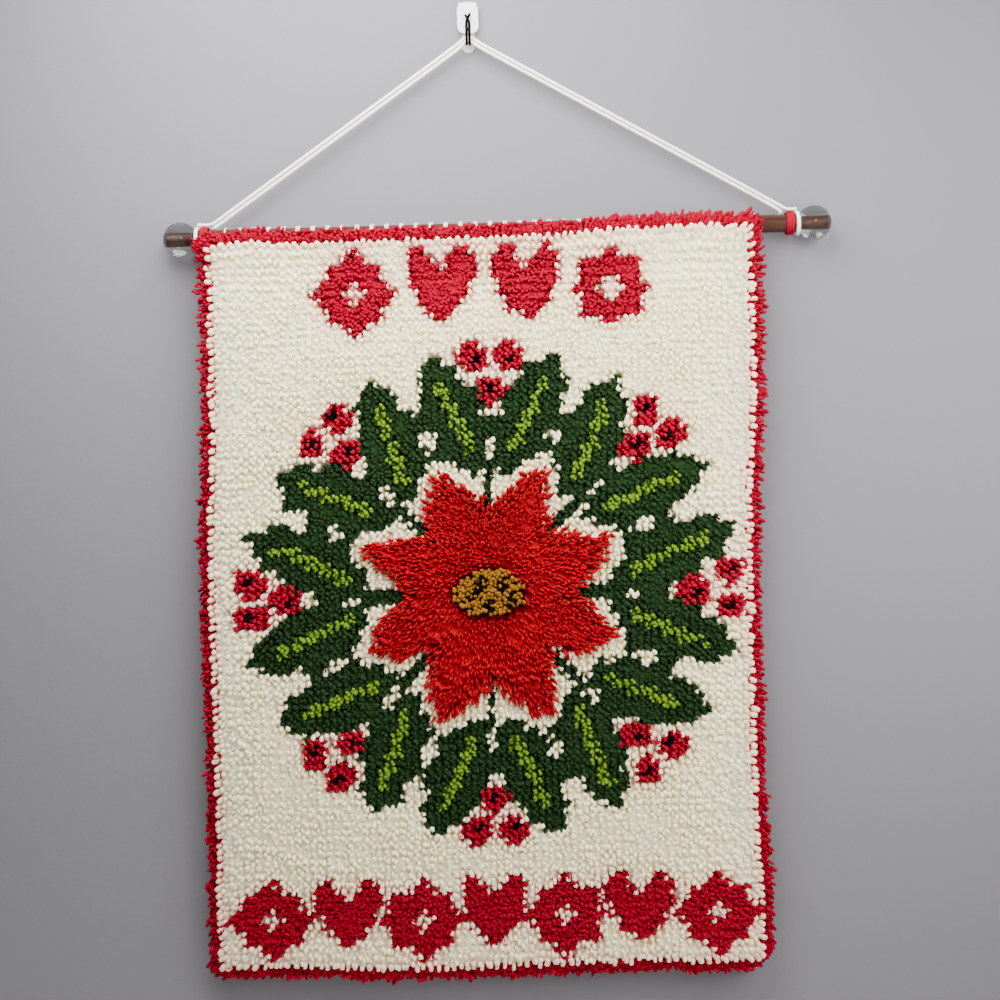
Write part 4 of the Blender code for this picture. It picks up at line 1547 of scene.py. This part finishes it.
# -------- canvas
@dataclass
class RugCanvas:
    """The open canvas under the pile, turned over the rod and sewn down behind.

    Attributes:
        hang: How the cloth hangs.
        thread: Width of a thread.
        thick: Thickness of a thread.
        first_bar_x: X of the first pair of threads over the rod.
        sleeve_left_x: Where the turned-over top is cut back.
        notch_z: How far down it is cut back.
        steps: Points along a thread that runs down the panel.
    """

    hang: Hang
    thread: float = 0.0021
    thick: float = 0.0010
    first_bar_x: float = -0.2282
    sleeve_left_x: float = -0.2335
    notch_z: float = -0.2039
    steps: int = 26

    def ribbons(self, lines: np.ndarray, wide: np.ndarray) -> tuple[np.ndarray, list]:
        """Flat threads along lines.

        Args:
            lines: Points of each line, as lines by points by three.
            wide: Direction of each thread's width, one to a point.

        Returns:
            Points and faces.
        """
        tangent = unit(np.gradient(lines, axis=1))
        wide = unit(wide - tangent * (wide * tangent).sum(-1, keepdims=True))
        up = np.cross(tangent, wide)
        half, rise = self.thread / 2, self.thick / 2
        corners = [(-1.0, 0.0), (-0.55, -1.0), (0.55, -1.0), (1.0, 0.0), (0.55, 1.0), (-0.55, 1.0)]
        ring = np.stack([lines + wide * a * half + up * b * rise for a, b in corners], axis=2)
        count, rings, sides = ring.shape[:3]
        caps = [list(range(sides))[::-1], list(range((rings - 1) * sides, rings * sides))]
        faces = repeated(tube_quads(rings, sides) + caps, np.arange(count) * rings * sides)
        return ring.reshape(-1, 3), faces

    def sleeve_line(self) -> np.ndarray:
        """The canvas's middle behind and over the rod, from the hem's end forwards.

        Returns:
            Y and Z of its points.
        """
        middle = self.hang.sleeve - self.hang.canvas_thick / 2
        behind = self.hang.rod_y + self.hang.seam_layer_gap + self.hang.canvas_thick / 2
        points = [(behind, self.hang.seam_z - self.hang.hem_below_seam), (behind, self.hang.seam_z)]
        lean = self.hang.seam_lean
        for share in np.linspace(0, 1, 17):
            turn = -lean + (math.pi + 2 * lean) * share
            points.append((self.hang.rod_y + middle * math.cos(turn),
                           self.hang.rod_z + middle * math.sin(turn)))
        return np.array(points)

    def lengthwise(self) -> tuple[np.ndarray, np.ndarray]:
        """Threads that run down the panel.

        Returns:
            The threads that go over the rod, and those of the panel alone.
        """
        pitch, half = self.hang.pitch, self.hang.half_width - self.hang.inset
        u = np.clip((np.arange(self.hang.columns + 1) - self.hang.columns / 2) * pitch, -half, half)
        seam_v = self.hang.top_z - self.hang.seam_z
        v = np.linspace(seam_v, self.hang.height - self.hang.inset, self.steps)
        middle = self.hang.canvas_thick / 2
        grid_u, grid_v = np.meshgrid(u, v, indexing="ij")
        panel = self.hang.place(grid_u.ravel(), grid_v.ravel(), -middle).reshape(len(u), len(v), 3)
        sleeve = self.sleeve_line()
        top_x = panel[:, 0, 0]
        # Over the rod the threads gather in pairs
        pair = np.round((top_x - self.first_bar_x) / (2 * pitch))
        bar_x = self.first_bar_x + pair * 2 * pitch
        place_in_pair = np.sign(top_x - bar_x) * self.thread * 0.5
        gather = np.clip(np.interp(sleeve[:, 1], [self.hang.rod_z - 0.012, self.hang.rod_z], [0, 1]),
                         0, 1)
        over = np.zeros((len(u), len(sleeve), 3))
        over[:, :, 0] = top_x[:, None] + (bar_x + place_in_pair - top_x)[:, None] * gather[None]
        over[:, :, 1], over[:, :, 2] = sleeve[None, :, 0], sleeve[None, :, 1]
        turned = top_x > self.sleeve_left_x
        full = np.concatenate([over, panel[:, 1:]], axis=1)[turned]
        notch_v = np.linspace(self.hang.top_z - self.notch_z, self.hang.height - self.hang.inset,
                              self.steps)
        grid_u, grid_v = np.meshgrid(u[~turned], notch_v, indexing="ij")
        short = self.hang.place(grid_u.ravel(), grid_v.ravel(), -middle)
        return full, short.reshape(-1, self.steps, 3)

    def crosswise(self) -> list[np.ndarray]:
        """Threads that run across the panel and across the hem behind.

        Returns:
            Groups of lines.
        """
        pitch, half = self.hang.pitch, self.hang.half_width - self.hang.inset
        # The canvas over the rod has no threads across
        v = np.arange(3, self.hang.rows) * pitch
        u = np.linspace(-half, half, 28)
        grid_v, grid_u = np.meshgrid(v, u, indexing="ij")
        depth = -self.hang.canvas_thick / 2 - 0.0002
        panel = self.hang.place(grid_u.ravel(), grid_v.ravel(), depth).reshape(len(v), len(u), 3)
        sleeve = self.sleeve_line()
        places = [(sleeve[1, 0], self.hang.seam_z - 0.003), *sleeve[1:4],
                  *np.linspace(sleeve[1], sleeve[2], 5)[1:-1]]
        x = np.linspace(max(panel[0, :, 0].min(), self.sleeve_left_x), panel[0, :, 0].max(), 40)
        hem = [np.stack([x, np.full_like(x, y), np.full_like(x, z)], axis=-1) for y, z in places]
        return [panel, np.array(hem)]

    def make(self) -> bpy.types.Object:
        """Weaves the canvas.

        Returns:
            The canvas.
        """
        across, down = np.eye(3)[0], np.eye(3)[2]
        threads = [self.ribbons(lines, np.broadcast_to(wide, lines.shape))
                   for wide, groups in ((across, self.lengthwise()), (down, self.crosswise()))
                   for lines in groups]
        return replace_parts(mesh_object("rug_canvas", *joined(threads), CANVAS), "canvas")

    def stitches(self) -> bpy.types.Object:
        """Sews the hem down behind with running stitches.

        Returns:
            The stitches.
        """
        pitch = self.hang.pitch
        y = self.hang.rod_y + self.hang.seam_layer_gap + self.hang.canvas_thick + 0.0004
        x = np.arange(self.first_bar_x, self.hang.half_width - pitch, 2 * pitch)
        t = np.linspace(0, 1, 7)
        lines = np.zeros((len(x), len(t), 3))
        lines[:, :, 0] = x[:, None] + (t * 1.25 * pitch)[None]
        lines[:, :, 1] = y + 0.0009 * np.sin(np.pi * t)[None] - 0.0012 * (np.abs(t - 0.5) > 0.45)
        lines[:, :, 2] = self.hang.seam_z + 0.004 + 0.0008 * np.sin(x * 91)[:, None]
        wide = np.broadcast_to(np.eye(3)[2], lines.shape)
        return mesh_object("hem_stitches", *self.ribbons(lines, wide), CREAM_THREAD)


# -------- cord and windings
@dataclass
class Rope:
    """A twisted rope or yarn along a line.

    Attributes:
        radius: Its outer radius.
        plies: How many plies show as ridges.
        lay: Length of one full twist.
        sides: Points round it.
        groove: How deep the grooves between plies are, as a share of the radius.
    """

    radius: float
    plies: int = 3
    lay: float = 0.009
    sides: int = 12
    groove: float = 0.22

    def surface(self, line: np.ndarray, fuzz: float = 0.0) -> tuple[np.ndarray, list]:
        """The rope's surface.

        Args:
            line: The points that it follows.
            fuzz: Unevenness of its radius, as a share.

        Returns:
            Points and faces.
        """
        tangent = unit(np.gradient(line, axis=0))
        side = np.cross(tangent, np.array([0.0, 1.0, 0.0]))
        weak = np.linalg.norm(side, axis=1) < 0.3
        side[weak] = np.cross(tangent[weak], np.array([0.0, 0.0, 1.0]))
        for i in range(1, len(side)):
            carried = side[i - 1] - tangent[i] * float(side[i - 1] @ tangent[i])
            side[i] = carried / max(float(np.linalg.norm(carried)), 1e-9)
        cross = np.cross(tangent, side)
        run = np.concatenate([[0], np.cumsum(np.linalg.norm(np.diff(line, axis=0), axis=1))])
        angle = np.arange(self.sides) / self.sides * 2 * np.pi
        phase = angle[None] - run[:, None] / self.lay * 2 * np.pi
        ridge = np.abs(np.cos(phase * self.plies / 2))
        radius = self.radius * (1 - self.groove + self.groove * ridge)
        if fuzz:
            radius *= 1 + fuzz * soft_noise(line, 700, 5.0)[:, None]
        ring = (line[:, None] + radius[..., None] * (np.cos(angle)[None, :, None] * side[:, None]
                                                     + np.sin(angle)[None, :, None] * cross[:, None]))
        verts = np.concatenate([ring.reshape(-1, 3), line[:1], line[-1:]])
        faces, total = tube_quads(len(line), self.sides), len(line) * self.sides
        last = total - self.sides
        for j in range(self.sides):
            k = (j + 1) % self.sides
            faces += [[k, j, total], [last + j, last + k, total + 1]]
        return verts, faces


@dataclass
class HangingCord:
    """The white cord's two strands, from the rod's ends up over the hook.

    Attributes:
        diameter: A strand's diameter.
        proud: Radius over its ridges, as a share of half the diameter.
        lower: Route of the strand that passes behind the rod's ends.
        upper: Route of the strand that lies on the wraps.
    """

    diameter: float = 0.003
    proud: float = 1.06
    lower: tuple = (
        (-0.2393, -0.0077, -0.1858), (-0.2393, -0.0108, -0.1830), (-0.2388, -0.0148, -0.1816),
        (-0.2340, -0.0162, -0.1787), (-0.2000, -0.0154, -0.1548), (-0.1200, -0.0134, -0.0987),
        (-0.0400, -0.0113, -0.0427), (-0.0110, -0.0106, -0.0221), (-0.0045, -0.0105, -0.0160),
        (0.0, -0.0105, -0.0140), (0.0048, -0.0105, -0.0157), (0.0130, -0.0106, -0.0216),
        (0.0600, -0.0116, -0.0491), (0.1400, -0.0133, -0.0957), (0.2300, -0.0152, -0.1482),
        (0.2780, -0.0162, -0.1766), (0.2828, -0.0148, -0.1812), (0.2834, -0.0108, -0.1830),
        (0.2834, -0.0077, -0.1858))
    upper: tuple = (
        (-0.2536, -0.0163, -0.1782), (-0.2490, -0.0163, -0.1783), (-0.2445, -0.0163, -0.1786),
        (-0.2400, -0.0162, -0.1776), (-0.2350, -0.0161, -0.1745), (-0.2020, -0.0154, -0.1514),
        (-0.1220, -0.0134, -0.0953), (-0.0420, -0.0113, -0.0393), (-0.0130, -0.0106, -0.0187),
        (-0.0055, -0.0105, -0.0127), (0.0, -0.0105, -0.0106), (0.0058, -0.0105, -0.0125),
        (0.0146, -0.0106, -0.0183), (0.0616, -0.0116, -0.0457), (0.1416, -0.0133, -0.0923),
        (0.2316, -0.0152, -0.1448), (0.2796, -0.0161, -0.1730), (0.2850, -0.0162, -0.1764),
        (0.2895, -0.0163, -0.1783), (0.2940, -0.0163, -0.1783), (0.2978, -0.0163, -0.1782))

    def make(self) -> None:
        """Twists both strands."""
        for name, route in (("cord_lower", self.lower), ("cord_upper", self.upper)):
            line = curve_through(list(route), 0.0011, 3)
            rope = Rope(self.diameter / 2 * self.proud)
            piece = mesh_object(name + "_twisted", *rope.surface(line), CORD)
            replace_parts(piece, name)


@dataclass
class Windings:
    """The cord's turns and the red yarn wound round each end of the rod.

    Attributes:
        hang: How the cloth hangs, for the rod's place.
        yarn: Radius of the red yarn.
        layers: For each layer of yarn, its inset from the wrap's ends, its lift, turns and start.
        cord: Radius of the cord.
        cord_turns: How many turns the cord has, and the angle at which they start.
    """

    hang: Hang
    yarn: float = 0.0009
    layers: tuple = ((0.0009, 0.0, 5.2, 0.4), (0.0014, 0.0005, 4.2, 2.2), (0.0024, 0.0008, 3.1, 4.0))
    cord: float = 0.0015
    cord_turns: tuple[float, float] = (1.6, 1.2)

    def helix(self, low_x: float, high_x: float, radius: float, turns: float, start: float,
              wobble: float) -> np.ndarray:
        """Points of a helix round the rod.

        Args:
            low_x: X of its first turn.
            high_x: X of its last turn.
            radius: Its radius.
            turns: How many turns it has.
            start: Angle of its first point.
            wobble: Unevenness of its pitch and radius.

        Returns:
            The points.
        """
        steps_a_turn = 30
        t = np.linspace(0, 1, int(turns * steps_a_turn) + 1)
        angle = start + t * turns * 2 * np.pi
        x = low_x + (high_x - low_x) * t + wobble * 0.6 * np.sin(angle * 0.37 + start)
        reach = radius + wobble * np.sin(angle * 0.53 + 2 * start)
        return np.stack([x, self.hang.rod_y + reach * np.cos(angle),
                         self.hang.rod_z + reach * np.sin(angle)], axis=-1)

    def wrap(self, side: str) -> bpy.types.Object:
        """Winds the red yarn round one end of the rod.

        Args:
            side: Left or right.

        Returns:
            The yarn.
        """
        low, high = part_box("yarn_wrap_" + side)
        rope = Rope(self.yarn, plies=4, lay=0.010, sides=10, groove=0.30)
        base = self.hang.rod_radius + GAP + self.yarn
        parts, shades = [], []
        for layer, (inset, lift, turns, start) in enumerate(self.layers):
            line = self.helix(low[0] + inset, high[0] - inset, base + lift, turns, start, 0.0002)
            line[:, 2] += lift * (1 + (line[:, 2] - self.hang.rod_z) / base) / 2
            parts.append(rope.surface(line, 0.25))
            # Painted shade: the lower layers of yarn, under the others, are a little darker
            shade = [0.8 + 0.1 * layer, 0.3 + 0.2 * layer, 0.0]
            shades.append(np.tile(shade, (len(parts[-1][0]), 1)))
        piece = mesh_object("wrap_red_" + side, *joined(parts), RED, np.concatenate(shades))
        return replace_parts(piece, "yarn_wrap_" + side)

    def loop(self, side: str) -> bpy.types.Object:
        """Turns the cord round one end of the rod.

        Args:
            side: Left or right.

        Returns:
            The cord's turns.
        """
        low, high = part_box("cord_loop_" + side)
        inset, reach = 0.0014, self.hang.rod_radius + GAP + self.cord
        line = self.helix(low[0] + inset, high[0] - inset, reach, *self.cord_turns, 0.0001)
        rope = Rope(self.cord, groove=0.25)
        piece = mesh_object("loop_white_" + side, *rope.surface(line), CORD)
        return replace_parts(piece, "cord_loop_" + side)

    def make(self) -> None:
        """Winds both ends of the rod."""
        for side in ("left", "right"):
            self.wrap(side)
            self.loop(side)


# -------- rod, balls and hook
@dataclass
class Rod:
    """The stained rod and its clear ball ends.

    Attributes:
        hang: How the cloth hangs, for the rod's place.
        steps: Faces round a ball.
        peg_radius: Radius of the rod's turned-down end, which is glued into the ball.
        glue: How far the glue fills the gap round it, so that glass meets wood.
    """

    hang: Hang
    steps: int = 72
    peg_radius: float = 0.0043
    glue: float = 0.0001

    def ball(self, side: str) -> bpy.types.Object:
        """Turns one ball with its bore.

        Args:
            side: Left or right.

        Returns:
            The ball.
        """
        low, high = (np.array(corner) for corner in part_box("ball_" + side))
        radius = float(high[1] - low[1]) / 2
        bore = self.peg_radius - self.glue
        inward = 1 if side == "left" else -1
        outer_x = float(low[0] if side == "left" else high[0])
        middle_x = outer_x + inward * radius
        rod_end_x = float(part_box("rod")[0 if side == "left" else 1][0])
        floor = (rod_end_x - middle_x) * inward + self.glue
        face = math.sqrt(radius ** 2 - bore ** 2)
        angles = np.linspace(math.pi, math.atan2(bore, face), 48)
        profile = [(radius * math.cos(a), radius * math.sin(a)) for a in angles]
        profile[0] = (-radius, 0.0)
        profile += [(floor, bore), (floor, 0.0)]
        bm = bmesh.new()
        verts = [bm.verts.new((x, 0.0, r)) for x, r in profile]
        edges = [bm.edges.new(pair) for pair in zip(verts, verts[1:])]
        bmesh.ops.spin(bm, geom=verts + edges, cent=(0, 0, 0), axis=(1, 0, 0), angle=2 * math.pi,
                       steps=self.steps, use_merge=True)
        bmesh.ops.remove_doubles(bm, verts=bm.verts, dist=1e-6)
        place = Matrix.Translation((middle_x, self.hang.rod_y, self.hang.rod_z))
        bmesh.ops.transform(bm, matrix=place @ Matrix.Diagonal((inward, 1, 1, 1)), verts=bm.verts)
        ball = from_bmesh("ball_clear_" + side, bm, GLASS)
        ball.data.set_sharp_from_angle(angle=math.radians(50))
        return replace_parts(ball, "ball_" + side)

    def make(self) -> None:
        """Finishes the rod's solid and makes both balls."""
        repaint("rod", WOOD)
        self.ball("left")
        self.ball("right")


@dataclass
class WallHook:
    """The clear hook on the wall.

    Attributes:
        wire_radius: Radius of its wire.
        dome: Half width and height of the half disc moulded at the plate's top.
        arch: Half width and height of the arch moulded round the wire.
        ridge: Radius of the arch's ridge.
        wire: The wire's route, from where it lies on the plate.
    """

    wire_radius: float = 0.0012
    dome: tuple[float, float] = (0.0086, 0.0014)
    arch: tuple[float, float] = (0.0080, 0.0150)
    ridge: float = 0.0006
    wire: tuple = (
        (-0.0022, 0.0, 0.0121), (-0.0012, 0.0, 0.0101), (0.0, 0.0, 0.0078), (0.0011, 0.0, 0.0052),
        (0.0014, 0.0, 0.0020), (0.0014, 0.0, -0.0050), (0.0014, 0.0, -0.0119),
        (0.0014, -0.0012, -0.0154), (0.0014, -0.0042, -0.0169), (0.0014, -0.0073, -0.0154),
        (0.0014, -0.0086, -0.0119), (0.0014, -0.0089, -0.0079), (0.0012, -0.0091, -0.0055),
        (0.0, -0.0092, -0.0044), (-0.0012, -0.0091, -0.0055), (-0.0014, -0.0089, -0.0079),
        (-0.0014, -0.0086, -0.0119), (-0.0014, -0.0073, -0.0154), (-0.0014, -0.0042, -0.0169),
        (-0.0014, -0.0012, -0.0154), (-0.0014, 0.0, -0.0119), (-0.0014, -0.0003, -0.0050),
        (-0.0014, -0.0012, 0.0020), (-0.0011, -0.0022, 0.0052), (0.0, -0.0026, 0.0078),
        (0.0012, -0.0021, 0.0101), (0.0022, -0.0010, 0.0121))

    def make(self) -> None:
        """Bends the wire, moulds the relief and finishes the clear solids."""
        front = float(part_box("hook_plate")[0][1]) - GAP - self.wire_radius
        line = curve_through([(x, front + y, z) for x, y, z in self.wire], 0.0009, 2)
        rope = Rope(self.wire_radius, plies=1, sides=12, groove=0.0)
        wire = mesh_object("hook_wire_bent", *rope.surface(line), WIRE)
        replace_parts(wire, "hook_wire")
        repaint("hook_plate", PLASTIC)
        repaint("hook_strip", TAPE)
        self.moulded_dome()
        self.moulded_arch()

    def moulded_dome(self) -> None:
        """The shallow half disc at the plate's top."""
        low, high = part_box("hook_plate")
        half, rise = self.dome
        columns, rows = 25, 13
        across, down = np.meshgrid(np.linspace(-1, 1, columns), np.linspace(0, 1, rows),
                                   indexing="ij")
        drop = np.sqrt(np.maximum(0, 1 - across ** 2))
        height = rise * np.sqrt(np.maximum(0, 4 * down * (1 - down))) * drop ** 0.5
        verts = np.stack([across * half, low[1] + 0.0001 - height,
                          high[2] - 0.0012 - down * drop * half * 1.15], axis=-1)
        quad = [0, 1, rows + 1, rows]
        faces = [[i * rows + j + k for k in quad] for i in range(columns - 1) for j in range(rows - 1)]
        mesh_object("hook_dome", verts.reshape(-1, 3), faces, PLASTIC)

    def moulded_arch(self) -> None:
        """The ridge that arches round the wire."""
        low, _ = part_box("hook_plate")
        turn = np.linspace(0, np.pi, 41)
        line = np.stack([self.arch[0] * np.cos(turn), np.full_like(turn, low[1]),
                         low[2] + 0.0016 + self.arch[1] * np.sin(turn)], axis=-1)
        ridge = Rope(self.ridge, plies=1, sides=8, groove=0.0)
        mesh_object("hook_arch", *ridge.surface(line), PLASTIC)


# -------- surroundings
@dataclass
class Studio:
    """Wall, floor, lights and camera.

    Attributes:
        eye: The camera's place.
        view_width: Width of what it sees at the rod.
        roll: How far the camera is turned about its own line of sight, in degrees.
        wall_colour: Colour of the wall.
        floor_colour: Colour of the floor.
        floor_z: Z of the floor.
        glint_size: A lamp smaller than this shows as a glint.
    """

    eye: tuple[float, float, float] = (0.0177, -1.316, -0.4386)
    view_width: float = 0.92
    roll: float = -1.58
    wall_colour: Colour = (0.165, 0.163, 0.180)
    floor_colour: Colour = (0.72, 0.71, 0.70)
    floor_z: float = -1.1
    glint_size: float = 0.3

    def camera(self) -> None:
        """Sets the camera up, square to the wall."""
        data = bpy.data.cameras.new("camera")
        data.sensor_width = 36.0
        rod_y = float(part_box("rod")[0][1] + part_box("rod")[1][1]) / 2
        data.lens = data.sensor_width * (rod_y - self.eye[1]) / self.view_width
        camera = bpy.data.objects.new("camera", data)
        bpy.context.scene.collection.objects.link(camera)
        turn = Matrix.Rotation(math.pi / 2, 4, "X") @ Matrix.Rotation(math.radians(self.roll), 4, "Z")
        camera.matrix_world = Matrix.Translation(self.eye) @ turn
        bpy.context.scene.camera = camera

    def plane(self, name: str, corners: list[tuple[float, float, float]],
              material: bpy.types.Material) -> None:
        """Adds a flat surface.

        Args:
            name: Its name.
            corners: Its corners.
            material: Its material.
        """
        bm = bmesh.new()
        bm.faces.new([bm.verts.new(corner) for corner in corners])
        mesh = bpy.data.meshes.new(name)
        bm.to_mesh(mesh)
        bm.free()
        obj = bpy.data.objects.new(name, mesh)
        bpy.context.scene.collection.objects.link(obj)
        mesh.materials.append(material)

    def plain(self, name: str, colour: Colour) -> tuple[bpy.types.Material, NodeBench, object, object]:
        """Makes a plain matt material.

        Args:
            name: Its name.
            colour: Its colour.

        Returns:
            The material, its bench, its shader and its output node.
        """
        material = bpy.data.materials.new(name)
        material.use_nodes = True
        bench = NodeBench(material.node_tree)
        shader = bench.add("BsdfPrincipled", inputs={"Base Color": (*colour, 1), "Roughness": 0.9})
        output = bench.add("OutputMaterial")
        bench.join(shader.outputs["BSDF"], output.inputs["Surface"])
        return material, bench, shader, output

    def wall(self) -> None:
        """A painted wall that shows from its front alone, so that the back stays in view."""
        material, bench, shader, output = self.plain("wall_paint", self.wall_colour)
        place = bench.add("TexCoord").outputs["Object"]
        roller = bench.noise(place, 240, 4)
        bench.raise_by(shader, roller, 0.25, 0.0006)
        path = bench.add("LightPath")
        back = bench.add("NewGeometry").outputs["Backfacing"]
        unseen = bench.math("MAXIMUM", bench.math("MAXIMUM", path.outputs["Is Shadow Ray"], back),
                            path.outputs["Is Diffuse Ray"])
        clear = bench.add("BsdfTransparent")
        mixer = bench.add("MixShader")
        bench.join(unseen, mixer.inputs["Fac"])
        bench.join(shader.outputs["BSDF"], mixer.inputs[1])
        bench.join(clear.outputs["BSDF"], mixer.inputs[2])
        bench.join(mixer.outputs["Shader"], output.inputs["Surface"])
        half, y, top = 1.6, 0.0004, 1.2
        self.plane("wall", [(-half, y, self.floor_z), (half, y, self.floor_z), (half, y, top),
                            (-half, y, top)], material)

    def floor(self) -> None:
        """A plain pale floor."""
        material = self.plain("floor_paint", self.floor_colour)[0]
        half, z = 2.5, self.floor_z
        self.plane("floor", [(-half, -half, z), (half, -half, z), (half, half, z), (-half, half, z)],
                   material)

    def light(self, name: str, place: tuple[float, float, float], size: float, power: float,
              colour: Colour = (1, 1, 1)) -> None:
        """Adds a square area light that looks at the panel's middle.

        Args:
            name: Its name.
            place: Where it stands.
            size: Width of its side.
            power: Its power in watts.
            colour: Colour of its light.
        """
        data = bpy.data.lights.new(name, "AREA")
        data.size, data.energy, data.color = size, power, colour
        lamp = bpy.data.objects.new(name, data)
        lamp.visible_camera = False
        lamp.visible_glossy = size < self.glint_size
        bpy.context.scene.collection.objects.link(lamp)
        aim = Vector((0.0, 0.0, -0.45)) - Vector(place)
        turn = aim.to_track_quat("-Z", "Y").to_matrix().to_4x4()
        lamp.matrix_world = Matrix.Translation(place) @ turn

    def make(self) -> None:
        """Sets everything up but the camera."""
        self.wall()
        self.floor()
        self.light("window", (0.55, -0.50, -0.25), 0.7, 11, (1.0, 0.985, 0.95))
        self.light("ceiling", (-0.12, -0.40, 0.12), 0.6, 18, (1.0, 0.985, 0.95))
        self.light("room", (-0.5, -1.7, 0.1), 1.6, 2, (0.97, 0.98, 1.0))
        self.light("lamp", (0.25, -1.75, -0.05), 0.22, 3.5)
        self.light("behind", (0.3, 1.5, 0.2), 1.5, 24)
        world = bpy.data.worlds.new("studio")
        world.use_nodes = True
        bench = NodeBench(world.node_tree)
        background = bench.add("Background", inputs={"Strength": 1.0})
        sky = bench.add("SeparateXYZ")
        bench.join(bench.add("TexCoord").outputs["Generated"], sky.inputs["Vector"])
        bench.join(bench.mix(bench.fit(sky.outputs["Z"], -0.5, 0.6), (0.05, 0.05, 0.05, 1),
                             (0.16, 0.16, 0.17, 1)), background.inputs["Color"])
        bench.join(background.outputs["Background"], bench.add("OutputWorld").inputs["Surface"])
        bpy.context.scene.world = world


def main() -> None:
    logging.basicConfig(level=logging.INFO, format="%(message)s")
    studio = Studio()
    studio.camera()
    HangingCord().make()
    hang = Hang()
    Windings(hang).make()
    Rod(hang).make()
    WallHook().make()
    weave = RugCanvas(hang)
    canvas, hem = weave.make(), weave.stitches()
    tufts = Pile(Chart(), hang).make()
    studio.make()


if __name__ == "__main__":
    main()
